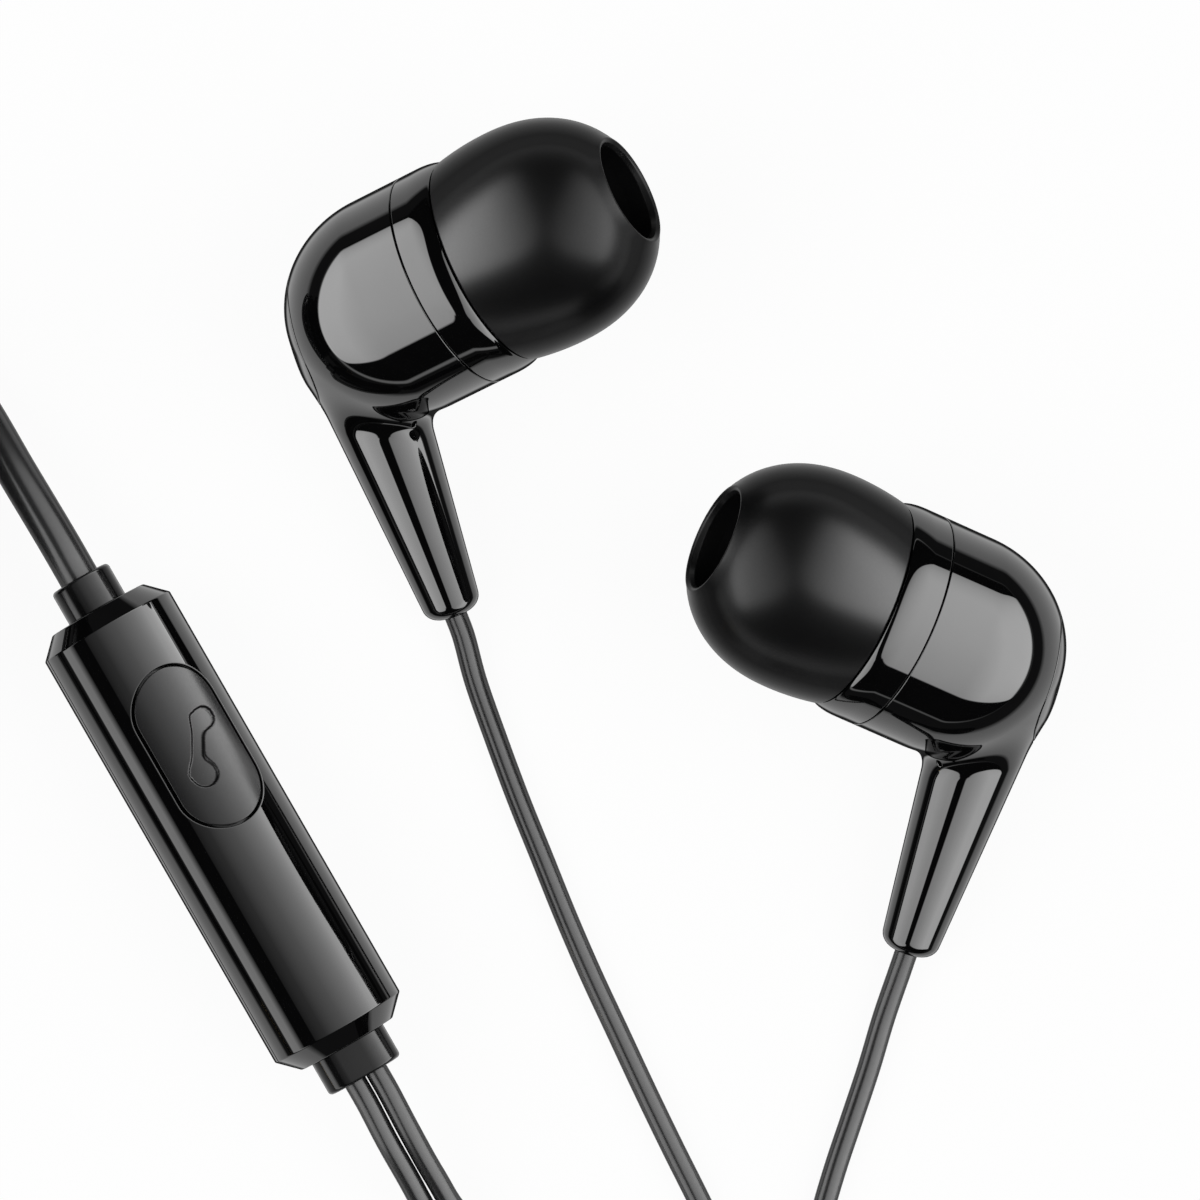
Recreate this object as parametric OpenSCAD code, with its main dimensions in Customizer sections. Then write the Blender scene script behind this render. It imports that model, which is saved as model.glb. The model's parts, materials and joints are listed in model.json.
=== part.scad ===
// Wired in-ear earphones with an inline remote, lying on a flat surface.
// Millimetres, +Z up. The origin is under the middle of the two buds and the remote.

/* [Bud housing] */
// Outer diameter of the barrel
housing_d = 11.6; // [11:0.1:12.4]
// Length of the straight barrel, from its front face to the rounded back
barrel_len = 5.2; // [4.8:0.1:6]
// Depth of the rounded back
back_depth = 6.2; // [5.8:0.1:6.8]
// Thickness of the shells
shell_wall = 0.8; // [0.7:0.05:0.9]
// Thickness of the front wall behind the ear tip
front_wall = 0.9; // [0.7:0.05:1.1]
// Radius of the rounded edge at the front face
front_edge = 0.6; // [0.3:0.1:0.8]
// Distance from the front face to the seam between the two shells
seam_back = 2.2; // [2:0.1:2.8]
// Length of the front shell's lip inside the rear shell
lip_len = 1.4; // [1:0.1:1.6]
// Thickness of that lip
lip_wall = 0.5; // [0.4:0.05:0.6]
// Diameter of the round cap in the back
cap_d = 7.2; // [6.6:0.1:7.6]
// Thickness of the cap at its rim
cap_rim = 0.5; // [0.4:0.05:0.7]

/* [Bud stem] */
// Distance of the stem's root behind the front face
stem_back = 9.3; // [9:0.1:9.5]
// Distance of the stem's root below the barrel's axis
stem_drop = 4.75; // [4.5:0.05:5]
// Length of the stem from its root to its end
stem_len = 11.1; // [10:0.1:13]
// Lean of the stem away from the ear tip, in degrees
stem_lean = 8.8; // [5:0.1:11]
// Diameter of the stem at its root
stem_root_d = 5; // [4.6:0.1:5.2]
// Diameter of the stem at its end
stem_end_d = 2.95; // [2.8:0.05:3.4]
// Rounding of the stem's end
stem_round = 0.7; // [0.4:0.1:0.9]
// Diameter of the wire way inside the stem
wire_way_d = 2.2; // [2:0.1:2.4]
// Thickness of the wall at the stem's end, which holds the crimp
stem_stop = 3; // [2:0.1:4]
// Diameter of the vent holes at the stem's root
vent_d = 0.4; // [0.3:0.1:0.6]

/* [Nozzle and ear tip] */
// Outer diameter of the sound nozzle
nozzle_d = 4.8; // [4.5:0.1:5]
// Bore of the sound nozzle
nozzle_bore = 3.8; // [3.4:0.1:4]
// Length of the nozzle in front of the front face
nozzle_len = 5.4; // [5:0.1:6]
// Height of the barb that holds the ear tip
barb = 0.2; // [0.1:0.05:0.3]
// Thickness of the nozzle mesh
mesh_t = 0.2; // [0.15:0.05:0.3]
// Distance between the holes of the mesh
mesh_pitch = 0.62; // [0.5:0.01:0.8]
// Largest diameter of the ear tip
tip_d = 11.7; // [10.8:0.1:12.6]
// Length of the ear tip
tip_len = 8.6; // [8:0.1:9.4]
// Diameter of the ear tip's mouth
tip_mouth_d = 5.2; // [5:0.1:5.6]
// Depth of the rounded lip round the mouth
tip_lip = 0.4; // [0.2:0.05:0.5]
// Length of the solid nose in front of the hollow skirt
tip_nose = 2.3; // [2.1:0.1:2.6]
// Thickness of the ear tip's skirt
skirt_t = 0.45; // [0.35:0.05:0.6]
// Thickness of the ear tip's sleeve round the nozzle
sleeve_t = 0.7; // [0.5:0.05:0.9]

/* [Driver] */
// Thickness of the driver frame's wall
frame_wall = 0.3; // [0.25:0.05:0.4]
// Depth of the driver frame
frame_depth = 1.9; // [1.7:0.1:2.1]
// Outer diameter of the steel yoke
yoke_d = 5.6; // [5.2:0.1:6]
// Depth of the yoke
yoke_depth = 1.8; // [1.7:0.1:2]
// Thickness of the yoke's wall and floor
yoke_wall = 0.45; // [0.4:0.05:0.5]
// Diameter of the magnet
magnet_d = 3.5; // [3.2:0.1:3.6]
// Thickness of the magnet
magnet_t = 0.8; // [0.7:0.05:0.9]
// Thickness of the steel washer on the magnet
washer_t = 0.35; // [0.3:0.05:0.45]
// Thickness of the diaphragm film
film_t = 0.12; // [0.1:0.01:0.16]
// Thickness of the small circuit board on the yoke
tag_t = 0.4; // [0.3:0.05:0.5]
// Diameter of the lead wires
lead_d = 0.4; // [0.3:0.05:0.5]

/* [Remote] */
// Outer diameter of the remote
remote_d = 7.4; // [7:0.1:8]
// Length of the remote without its collars
remote_len = 25.8; // [24:0.1:28]
// Bevel at both ends of the remote
remote_bevel = 1; // [0.6:0.1:1.2]
// Thickness of the remote's shells
remote_wall = 0.8; // [0.7:0.05:0.9]
// Thickness of the remote's end walls
remote_end_wall = 1.4; // [1.2:0.1:1.6]
// Length that each collar stands out of the remote
collar_len = 1.9; // [1.5:0.1:2.5]
// Diameter of the collar round the main cord
main_collar_d = 3.3; // [3.1:0.1:3.6]
// Width of the collar round the two branch cords
branch_collar_w = 4.2; // [4:0.1:4.4]
// Height of the collar round the two branch cords
branch_collar_h = 3; // [2.8:0.1:3.2]
// Turn of the button about the remote's length, in degrees
button_turn = 20.8; // [0:0.1:40]

/* [Call button] */
// Length of the button
button_len = 8.8; // [8:0.1:9.6]
// Width of the button
button_w = 4.5; // [4.2:0.1:4.6]
// Distance of the button from the middle of the remote
button_shift = 4.2; // [3.4:0.1:4.4]
// Thickness of the button's cap
button_t = 0.85; // [0.8:0.05:0.9]
// Gap round the button
button_gap = 0.12; // [0.1:0.01:0.15]
// Travel of the button
button_travel = 0.25; // [0.2:0.01:0.3]
// Height of the handset sign along the button
sign_len = 4.2; // [3.6:0.1:4.4]
// Depth of the handset sign
sign_depth = 0.12; // [0.08:0.01:0.2]
// Turn of the handset sign from the remote's length, in degrees
sign_turn = 30; // [0:1:45]

/* [Remote's inside] */
// Clearance between the circuit board's ends and the crimps
board_end_gap = 0.4; // [0.3:0.1:2]
// Width of the circuit board
board_w = 4.8; // [4.4:0.1:4.9]
// Thickness of the circuit board
board_t = 0.8; // [0.6:0.1:0.8]
// Side of the switch case
switch_side = 3; // [2.8:0.1:3.2]
// Height of the switch case
switch_h = 1.1; // [1:0.05:1.15]
// Diameter of the switch plunger
plunger_d = 1.4; // [1.2:0.1:1.6]
// Diameter of the microphone
mic_d = 3; // [2.6:0.1:3.2]
// Height of the microphone
mic_h = 1.2; // [1:0.1:1.3]
// Distance of the microphone from the board's end
mic_inset = 3.5; // [2.5:0.1:5]
// Diameter of the sound hole under the microphone
mic_hole_d = 0.8; // [0.6:0.1:1]

/* [Cords] */
// Diameter of the two branch cords
branch_d = 1.2; // [1.1:0.1:1.2]
// Diameter of the main cord
main_d = 2.1; // [2:0.1:2.1]
// Clearance round a cord in its hole
cord_gap = 0.05; // [0.03:0.01:0.08]

/* [Plug] */
// Diameter of the plug's pin
pin_d = 3.5; // [3.4:0.1:3.6]
// Length of the plug's pin
pin_len = 14; // [13:0.5:15]
// Diameter of the plug's grip
grip_d = 6; // [5.6:0.1:6.4]
// Length of the plug's grip
grip_len = 15; // [13:0.5:18]
// Length of the plug's strain relief
relief_len = 7; // [6:0.5:9]
// Diameter of the strain relief where the cord comes out
relief_end_d = 3; // [2.8:0.1:3.2]

/* [Hidden] */

$fn = 48;
slack = 0.05;  // fit between parts that push together

black = [0.06, 0.06, 0.065];
soft_black = [0.11, 0.11, 0.115];
cord_grey = [0.17, 0.17, 0.175];
steel = [0.62, 0.63, 0.65];
gold = [0.8, 0.66, 0.36];
copper = [0.72, 0.42, 0.26];
board_green = [0.12, 0.34, 0.2];
ivory = [0.85, 0.83, 0.76];

// Places of the three things that lie on the surface: position, then turn, pitch and roll.
left_bud_at = [-3.3, 17.9, 7.67];
left_bud_turn = 25.6;
left_bud_pitch = 20.1;
left_bud_roll = -80.2;
right_bud_at = [15.7, 0.4, 7.37];
right_bud_turn = 156.3;
right_bud_pitch = 16.7;
right_bud_roll = 79.1;
remote_at = [-17.05, -11.15];
remote_turn = -60.1;

housing_r = housing_d / 2;
back_end = barrel_len + back_depth;
cavity_r = housing_r - shell_wall;
cavity_depth = back_depth - shell_wall;
lip_r = cavity_r - slack;
driver_room_r = lip_r - lip_wall;
frame_r = driver_room_r - slack;
frame_x = -front_wall;
cap_r = cap_d / 2;
cap_rise = 0.7;  // height of the cap's middle above the barrel's axis
cap_x = -barrel_len - back_depth * sqrt(1 - pow(cap_r / housing_r, 2));

stem_root_r = stem_root_d / 2;
stem_end_r = stem_end_d / 2;
stem_top = 3;  // how far the stem runs up inside the rounded back
crimp_len = 1.6;
crimp_z = -stem_len + stem_stop;

nozzle_r = nozzle_d / 2;
nozzle_bore_r = nozzle_bore / 2;
mesh_r = nozzle_bore_r + 0.2;
mesh_x = nozzle_len - mesh_t - 0.2;
barb_front = nozzle_len - 0.3;
barb_back = nozzle_len - 1.1;

tip_r = tip_d / 2;
tip_widest = 2.8;  // distance of the tip's widest ring from its rim
tip_flare = 0.28;  // how far the rim draws in
tip_reach = tip_len - tip_widest + 0.6;
tip_power = 2.2;
sleeve_bore_r = nozzle_r + slack;
sleeve_r = sleeve_bore_r + sleeve_t;

yoke_r = yoke_d / 2;
yoke_x = frame_x - frame_depth + 0.5;
magnet_r = magnet_d / 2;
washer_r = magnet_r + 0.1;
coil_gap_r = yoke_r - yoke_wall;
yoke_back = yoke_x - yoke_depth;

remote_r = remote_d / 2;
remote_in_r = remote_r - remote_wall;
half_len = remote_len / 2;
board_top = 0.1;
board_under = board_top - board_t;
flange_t = 0.35;
flange_rim = 0.45;
plunger_top = board_top + switch_h + 0.35;
nub_gap = 0.05;
button_under_r = remote_r - button_t;
flange_r = button_under_r;
collar_neck = 0.35;
main_hole_r = main_d / 2 + cord_gap;
branch_hole_r = branch_d / 2 + cord_gap;
branch_apart = branch_d + 0.04;
inner_x = half_len - remote_end_wall;
collar_flange = 0.7;
remote_crimp_len = 1.4;
main_crimp_x = -inner_x + collar_flange;
branch_crimp_x = inner_x - collar_flange;
board_len = 2 * (branch_crimp_x - remote_crimp_len - board_end_gap);
mic_x = board_len / 2 - mic_inset;
main_out_x = -half_len - collar_len;
branch_out_x = half_len + collar_len;
branch_hole_w = branch_apart + 2 * branch_hole_r + 2 * collar_neck;
branch_hole_h = 2 * branch_hole_r + 2 * collar_neck;

pin_r = pin_d / 2;
core_r = pin_r - 0.55;
rod_r = 0.5;
band = 0.6;
ring_len = 2.4;
plug_tip_len = 3.5;
tip_base = pin_len - plug_tip_len;
upper_ring_z = tip_base - band - ring_len;
lower_ring_z = upper_ring_z - band - ring_len;
sleeve_end = lower_ring_z - band;
grip_r = grip_d / 2;
cord_grip = 2;  // length of cord held inside the plug's grip
plug_at = [-58, -44.6, grip_r];

module bud(side) {
    at = side == "left" ? left_bud_at : right_bud_at;
    turn = side == "left" ? left_bud_turn : right_bud_turn;
    pitch = side == "left" ? left_bud_pitch : right_bud_pitch;
    roll = side == "left" ? left_bud_roll : right_bud_roll;
    translate(at) rotate([0, 0, turn]) rotate([0, -pitch, 0]) rotate([roll, 0, 0])
        children();
}

module in_stem() {
    translate([-stem_back, 0, -stem_drop]) rotate([0, stem_lean, 0]) children();
}

// A body turned about X from [radius, x] points
module turned(points) {
    rotate([0, 90, 0]) rotate_extrude() polygon(points);
}

module disc_x(r, x0, x1) {
    translate([min(x0, x1), 0, 0]) rotate([0, 90, 0]) cylinder(h = abs(x1 - x0), r = r);
}

// A round wire along straight runs, each run half a diameter longer at a bend
module wire(points, d) {
    for (i = [0 : len(points) - 2]) {
        v = points[i + 1] - points[i];
        h = norm(v);
        before = i > 0 ? d / 2 : 0;
        after = i < len(points) - 2 ? d / 2 : 0;
        translate(points[i]) rotate([0, acos(v[2] / h), atan2(v[1], v[0])]) translate([0, 0, -before])
            cylinder(h = h + before + after, d = d, $fn = 16);
    }
}

// ---- Bud ----

function back_arc(r, depth, steps = 14) =
    [for (i = [0 : steps]) [r * cos(90 * i / steps), -barrel_len - depth * sin(90 * i / steps)]];

function tip_outer(x) =
    x < tip_widest ? tip_r - tip_flare * pow((tip_widest - x) / tip_widest, 2)
    : tip_r * pow(1 - pow((x - tip_widest) / tip_reach, tip_power), 1 / tip_power);

module ear_tip() {
    rim = slack;
    web = tip_len - tip_nose;
    front = tip_len - tip_lip / 2;
    mouth_r = tip_mouth_d / 2;
    steps = 18;
    outer = [for (i = [0 : steps]) let (x = rim + (front - rim) * i / steps) [tip_outer(x), x]];
    inner = [for (i = [0 : steps]) let (x = web + (rim - web) * i / steps) [tip_outer(x) - skirt_t, x]];
    color(soft_black) turned(concat(
        outer,
        [[mouth_r + 0.7 * tip_lip, tip_len], [mouth_r + 0.25 * tip_lip, tip_len - 0.3 * tip_lip]],
        [[mouth_r, tip_len - tip_lip], [mouth_r, tip_len - tip_lip - 0.3]],
        [[sleeve_bore_r, nozzle_len + 0.3], [sleeve_bore_r, barb_front + slack]],
        [[sleeve_bore_r + barb, barb_front - 0.1], [sleeve_bore_r + barb, barb_back - slack]],
        [[sleeve_bore_r, barb_back - slack], [sleeve_bore_r, 0.35], [sleeve_r, 0.35]],
        [[sleeve_r, web - 0.4], [sleeve_r + 0.4, web]],
        inner));
}

module front_shell() {
    edge = [for (a = [0 : 22.5 : 90])
        [housing_r - front_edge + front_edge * cos(a), -front_edge + front_edge * sin(a)]];
    color(black) turned(concat(
        [[nozzle_bore_r, -front_wall], [driver_room_r, -front_wall]],
        [[driver_room_r, -seam_back - lip_len], [lip_r, -seam_back - lip_len]],
        [[lip_r, -seam_back], [housing_r, -seam_back]],
        edge,
        [[nozzle_r, 0], [nozzle_r, barb_back], [nozzle_r + barb, barb_back + 0.1]],
        [[nozzle_r + barb, barb_front - 0.3], [nozzle_r, barb_front], [nozzle_r, nozzle_len]],
        [[mesh_r, nozzle_len], [mesh_r, mesh_x], [nozzle_bore_r, mesh_x]]));
}

module back_solid(r, depth) {
    turned(concat([[0, -seam_back], [r, -seam_back]], back_arc(r, depth)));
}

module stem_solid() {
    taper = (stem_root_r - stem_end_r) / stem_len;
    knee = stem_end_r + taper * stem_round;
    top_r = stem_root_r + taper * stem_top;
    top = [for (a = [90 : -15 : 0]) [top_r * cos(a), stem_top + top_r * sin(a)]];
    end = [for (a = [0 : 15 : 90])
        [knee - stem_round + stem_round * cos(a), -stem_len + stem_round - stem_round * sin(a)]];
    in_stem() rotate_extrude() polygon(concat(top, end, [[0, -stem_len]]));
}

module back_and_stem() {
    back_solid(housing_r, back_depth);
    stem_solid();
}

module cap_room(r) {
    translate([0, 0, cap_rise]) disc_x(r, cap_x + cap_rim, -back_end - 2);
}

module rear_shell() {
    color(black) difference() {
        back_and_stem();
        back_solid(cavity_r, cavity_depth);
        cap_room(cap_r + 0.02);
        in_stem() {
            translate([0, 0, crimp_z]) cylinder(h = stem_len, d = wire_way_d);
            translate([0, 0, -stem_len - 1]) cylinder(h = stem_stop + 2, r = branch_d / 2 + cord_gap);
            for (side = [-1, 1]) {
                translate([0, 0, -1.3]) rotate([0, 0, side * 54]) rotate([0, 90, 0])
                    cylinder(h = stem_root_r + 1, d = vent_d, $fn = 24);
            }
        }
    }
}

module back_cap() {
    color(black) intersection() {
        back_and_stem();
        cap_room(cap_r);
    }
}

module nozzle_mesh() {
    rows = floor(nozzle_bore_r / mesh_pitch) + 1;
    color(steel) difference() {
        disc_x(mesh_r - 0.02, mesh_x, mesh_x + mesh_t);
        for (i = [-rows : rows], j = [-rows : rows]) {
            y = (i + j / 2) * mesh_pitch;
            z = j * mesh_pitch * sin(60);
            if (norm([y, z]) < nozzle_bore_r - mesh_pitch * 0.4)
                translate([mesh_x - 1, y, z]) rotate([0, 90, 0])
                    cylinder(h = mesh_t + 2, d = mesh_pitch * 0.6, $fn = 16);
        }
    }
}

module driver_frame() {
    back = frame_x - frame_depth;
    color(soft_black) difference() {
        disc_x(frame_r, frame_x, back);
        disc_x(frame_r - frame_wall, frame_x + 1, back + 0.5);
        disc_x(yoke_r + 0.02, frame_x, back - 1);
        for (a = [45 : 90 : 315]) {
            rotate([a, 0, 0]) translate([0, (yoke_r + frame_r) / 2, 0]) disc_x(0.4, frame_x, back - 1);
        }
    }
}

module yoke() {
    color(steel) difference() {
        disc_x(yoke_r, yoke_x, yoke_back);
        disc_x(coil_gap_r, yoke_x + 1, yoke_back + yoke_wall);
    }
}

module magnet() {
    color(steel) disc_x(magnet_r, yoke_back + yoke_wall, yoke_back + yoke_wall + magnet_t);
}

module top_washer() {
    base = yoke_back + yoke_wall + magnet_t;
    color(steel) disc_x(washer_r, base, base + washer_t);
}

module voice_coil() {
    mid = (washer_r + coil_gap_r) / 2;
    front = frame_x - 0.6;
    color(copper) difference() {
        disc_x(mid + 0.12, front - film_t, yoke_back + yoke_wall + magnet_t * 0.5);
        disc_x(mid - 0.12, front + 1, yoke_back);
    }
}

module diaphragm() {
    mid = (washer_r + coil_gap_r) / 2 + 0.12;
    rim = frame_r - frame_wall;
    seat = frame_x - 0.6;
    arch = 0.4;
    steps = 8;
    dome = [for (i = [0 : steps]) [mid * i / steps, seat + arch * cos(90 * i / steps)]];
    roll = [for (i = [1 : steps]) [mid + (rim - mid) * i / steps, seat + arch * sin(180 * i / steps)]];
    top = concat(dome, roll);
    under = [for (i = [len(top) - 1 : -1 : 0]) [top[i][0], top[i][1] - film_t]];
    color(ivory) turned(concat(top, under));
}

module tag_board() {
    color(board_green) intersection() {
        disc_x(yoke_r - 0.3, yoke_back, yoke_back - tag_t);
        translate([yoke_back - tag_t / 2, 0, -yoke_r / 2 - 0.2])
            cube([tag_t * 3, yoke_d, yoke_r], center = true);
    }
}

module leads() {
    top = in_bud([0, 0, 3]);
    foot = in_bud([0, 0, crimp_z + crimp_len]);
    apart = 0.45;
    color(copper) for (y = [-apart, apart]) {
        wire([foot + [0, y, 0], top + [0, y, 0], [yoke_back - tag_t, y, -yoke_r / 2]], lead_d);
    }
}

// Bud coordinates of a point on the stem's own axes
function in_bud(p) = [
    p[0] * cos(stem_lean) + p[2] * sin(stem_lean) - stem_back,
    p[1],
    p[2] * cos(stem_lean) - p[0] * sin(stem_lean) - stem_drop
];

module crimp() {
    color(steel) in_stem() translate([0, 0, crimp_z]) cylinder(h = crimp_len, d = wire_way_d - 0.1);
}

// ---- Remote: length along X, button side towards +Z ----

module remote() {
    translate([remote_at[0], remote_at[1], remote_r])
        rotate([0, 0, remote_turn]) rotate([-button_turn, 0, 0]) children();
}

module remote_solid(r, half, bevel) {
    turned([
        [0, -half], [r - bevel, -half], [r, -half + bevel],
        [r, half - bevel], [r - bevel, half], [0, half]]);
}

module stadium(length, width, z0, z1) {
    translate([-button_shift, 0, z0]) linear_extrude(height = z1 - z0) {
        for (s = [-1, 1]) {
            translate([s * (length - width) / 2, 0]) circle(d = width);
        }
        square([length - width, width], center = true);
    }
}

module oval_x(w, h, x0, x1) {
    translate([min(x0, x1), 0, 0]) rotate([0, 90, 0]) linear_extrude(height = abs(x1 - x0)) {
        for (s = [-1, 1]) {
            translate([0, s * (w - h) / 2]) circle(d = h);
        }
        square([h, w - h], center = true);
    }
}

// The collars and the cord holes stay level while the shells turn with the button
module level() {
    rotate([button_turn, 0, 0]) children();
}

module remote_shells() {
    difference() {
        remote_solid(remote_r, half_len, remote_bevel);
        disc_x(remote_in_r, -inner_x, inner_x);
        disc_x(main_hole_r + collar_neck + 0.02, -half_len - 1, -inner_x + 1);
        level() oval_x(branch_hole_w + 0.04, branch_hole_h + 0.04, inner_x - 1, half_len + 1);
    }
}

module remote_front_shell() {
    big = remote_len + 2;
    color(black) remote() difference() {
        remote_shells();
        translate([0, 0, -remote_d / 2]) cube([big, remote_d + 1, remote_d], center = true);
        stadium(button_len + 2 * button_gap, button_w + 2 * button_gap, 1, remote_d);
    }
}

module remote_back_shell() {
    big = remote_len + 2;
    rib = 1;
    color(black) remote() {
        difference() {
            remote_shells();
            translate([0, 0, remote_d / 2]) cube([big, remote_d + 1, remote_d], center = true);
            translate([mic_x, 0, -remote_d]) cylinder(h = remote_d, d = mic_hole_d);
        }
        for (x = [-board_len / 2 + rib, board_len / 2 - rib]) {
            intersection() {
                disc_x(remote_in_r + 0.1, x - rib / 2, x + rib / 2);
                translate([x, 0, board_under - remote_d / 2])
                    cube([rib, remote_d, remote_d], center = true);
            }
        }
    }
}

module main_collar() {
    color(soft_black) remote() difference() {
        union() {
            disc_x(main_collar_d / 2, -half_len - collar_len, -half_len);
            disc_x(main_hole_r + collar_neck, -half_len, -inner_x);
            disc_x(main_hole_r + collar_neck + 0.5, -inner_x, -inner_x + collar_flange);
        }
        disc_x(main_hole_r, -half_len - collar_len - 1, -inner_x + collar_flange + 1);
    }
}

module branch_collar() {
    color(soft_black) remote() level() difference() {
        union() {
            oval_x(branch_collar_w, branch_collar_h, half_len, half_len + collar_len);
            oval_x(branch_hole_w, branch_hole_h, inner_x, half_len);
            oval_x(branch_hole_w + 0.8, branch_hole_h + 0.8, inner_x - collar_flange, inner_x);
        }
        for (s = [-1, 1]) {
            translate([0, s * branch_apart / 2, 0])
                disc_x(branch_hole_r, inner_x - collar_flange - 1, half_len + collar_len + 1);
        }
    }
}

module handset_sign() {
    bulb = sign_len * 0.13;
    bow = sign_len * 0.36;
    translate([-button_shift, 0, remote_r - sign_depth - 0.02]) rotate([0, 0, 90 - sign_turn])
        linear_extrude(height = 1) {
            intersection() {
                difference() {
                    circle(r = bow);
                    circle(r = bow - sign_len * 0.13);
                }
                translate([bow * 0.3, -sign_len / 2]) square([bow, sign_len]);
            }
            for (s = [-1, 1]) {
                translate([bow * 0.42, s * (sign_len / 2 - bulb * 1.6)]) circle(r = bulb);
            }
        }
}

module call_button() {
    color(soft_black) remote() difference() {
        union() {
            intersection() {
                disc_x(remote_r, -half_len, half_len);
                stadium(button_len, button_w, 1, remote_d);
            }
            intersection() {
                disc_x(flange_r + 0.1, -half_len, half_len);
                stadium(button_len + 2 * flange_rim, button_w + 2 * flange_rim, 1.2, remote_d);
            }
        }
        disc_x(flange_r - flange_t, -half_len, half_len);
        handset_sign();
        button_rim();
    }
    color(soft_black) remote() translate([-button_shift, 0, plunger_top + nub_gap])
        cylinder(h = flange_r - flange_t / 2 - plunger_top - nub_gap, d = plunger_d + 0.4);
}

// Keeps the button's flange clear of the front shell's inner wall
module button_rim() {
    difference() {
        disc_x(remote_in_r + 1, -half_len, half_len);
        disc_x(remote_in_r - slack, -half_len - 1, half_len + 1);
        stadium(button_len, button_w, 0, remote_d);
    }
}

module circuit_board() {
    color(board_green) remote() translate([0, 0, board_top - board_t / 2])
        cube([board_len, board_w, board_t], center = true);
}

module switch_case() {
    well = button_travel + 0.2;
    color(steel) remote() translate([-button_shift, 0, board_top]) difference() {
        translate([0, 0, switch_h / 2]) cube([switch_side, switch_side, switch_h], center = true);
        translate([0, 0, switch_h - well - 0.3]) cylinder(h = switch_h, d = plunger_d + 0.1);
    }
}

module switch_plunger() {
    color(ivory) remote() translate([-button_shift, 0, plunger_top - 0.65])
        cylinder(h = 0.65, d = plunger_d);
}

module microphone() {
    color(steel) remote() translate([mic_x, 0, board_under - mic_h]) difference() {
        cylinder(h = mic_h, d = mic_d);
        translate([0, 0, -1]) cylinder(h = 1.5, d = mic_hole_d);
    }
}

module main_crimp() {
    color(steel) remote() disc_x(main_d / 2 + 0.3, main_crimp_x, main_crimp_x + remote_crimp_len);
}

module branch_crimps() {
    color(steel) remote() level() for (s = [-1, 1]) {
        translate([0, s * branch_apart / 2, 0])
            disc_x(branch_apart / 2 - 0.02, branch_crimp_x - remote_crimp_len, branch_crimp_x);
    }
}

module remote_leads() {
    main_end = main_crimp_x + remote_crimp_len;
    branch_end = branch_crimp_x - remote_crimp_len;
    lift = board_top + lead_d / 2;
    reach = 2.2;  // length of each lead on the board
    color(copper) remote() {
        for (y = [-0.9, -0.3, 0.3, 0.9]) {
            wire([[main_end, y * 0.8, lift], [main_end + reach, y, lift]], lead_d);
        }
        for (y = [-0.9, -0.3, 0.3, 0.9]) {
            wire([[branch_end, y, lift], [branch_end - reach, y, lift]], lead_d);
        }
    }
}

// ---- Plug: pin towards -Y, cord towards +Y ----

module plug() {
    translate(plug_at) rotate([90, 0, 0]) children();
}

module tube_z(r, bore, z0, z1) {
    translate([0, 0, z0]) difference() {
        cylinder(h = z1 - z0, r = r);
        translate([0, 0, -1]) cylinder(h = z1 - z0 + 2, r = bore);
    }
}

module plug_tip() {
    neck = pin_r - 0.5;
    color(gold) plug() {
        rotate_extrude() polygon([
            [0, tip_base], [pin_r, tip_base], [pin_r, tip_base + 0.5], [neck, tip_base + 1.1],
            [neck, tip_base + 1.3], [pin_r - 0.1, tip_base + 2], [pin_r - 0.3, tip_base + 2.5],
            [0.6, pin_len - 0.1], [0.4, pin_len], [0, pin_len]]);
        translate([0, 0, -2]) cylinder(h = tip_base + 2, r = rod_r);
    }
}

module plug_ring_upper() {
    color(gold) plug() tube_z(pin_r, core_r, upper_ring_z, upper_ring_z + ring_len);
}

module plug_ring_lower() {
    color(gold) plug() tube_z(pin_r, core_r, lower_ring_z, lower_ring_z + ring_len);
}

module plug_sleeve() {
    color(gold) plug() {
        tube_z(pin_r, core_r, 0, sleeve_end);
        tube_z(pin_r + 0.5, core_r, -0.8, 0);
    }
}

module plug_insulator() {
    color(black) plug() difference() {
        union() {
            translate([0, 0, -0.8]) cylinder(h = tip_base + 0.8, r = core_r);
            for (z = [sleeve_end, lower_ring_z + ring_len, upper_ring_z + ring_len]) {
                translate([0, 0, z]) cylinder(h = band, r = pin_r);
            }
        }
        translate([0, 0, -2]) cylinder(h = pin_len + 2, r = rod_r);
    }
}

module plug_grip() {
    round = 0.8;
    end_r = grip_r - 0.5;
    color(soft_black) plug() difference() {
        rotate_extrude() polygon(concat(
            [[0, 0]],
            [for (a = [0 : 22.5 : 90]) [grip_r - round + round * sin(a), -round + round * cos(a)]],
            [[grip_r, -grip_len * 0.6], [end_r, -grip_len], [0, -grip_len]]));
        translate([0, 0, -0.8]) cylinder(h = 2, r = pin_r + 0.5);
        translate([0, 0, -2]) cylinder(h = 2, r = rod_r);
        translate([0, 0, -grip_len - 1]) cylinder(h = cord_grip + 1, r = main_d / 2 + cord_gap);
    }
}

module plug_relief() {
    color(soft_black) plug() difference() {
        translate([0, 0, -grip_len - relief_len])
            cylinder(h = relief_len, r1 = relief_end_d / 2, r2 = grip_r - 0.8);
        translate([0, 0, -grip_len - relief_len - 1])
            cylinder(h = relief_len + 2, r = main_d / 2 + cord_gap);
    }
}

// ---- Cords: eight-sided tubes through their route's own points, and coils that follow a formula ----

function turn_x(p, a) = [p[0], p[1] * cos(a) - p[2] * sin(a), p[1] * sin(a) + p[2] * cos(a)];
function turn_y(p, a) = [p[0] * cos(a) + p[2] * sin(a), p[1], p[2] * cos(a) - p[0] * sin(a)];
function turn_z(p, a) = [p[0] * cos(a) - p[1] * sin(a), p[0] * sin(a) + p[1] * cos(a), p[2]];

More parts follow.
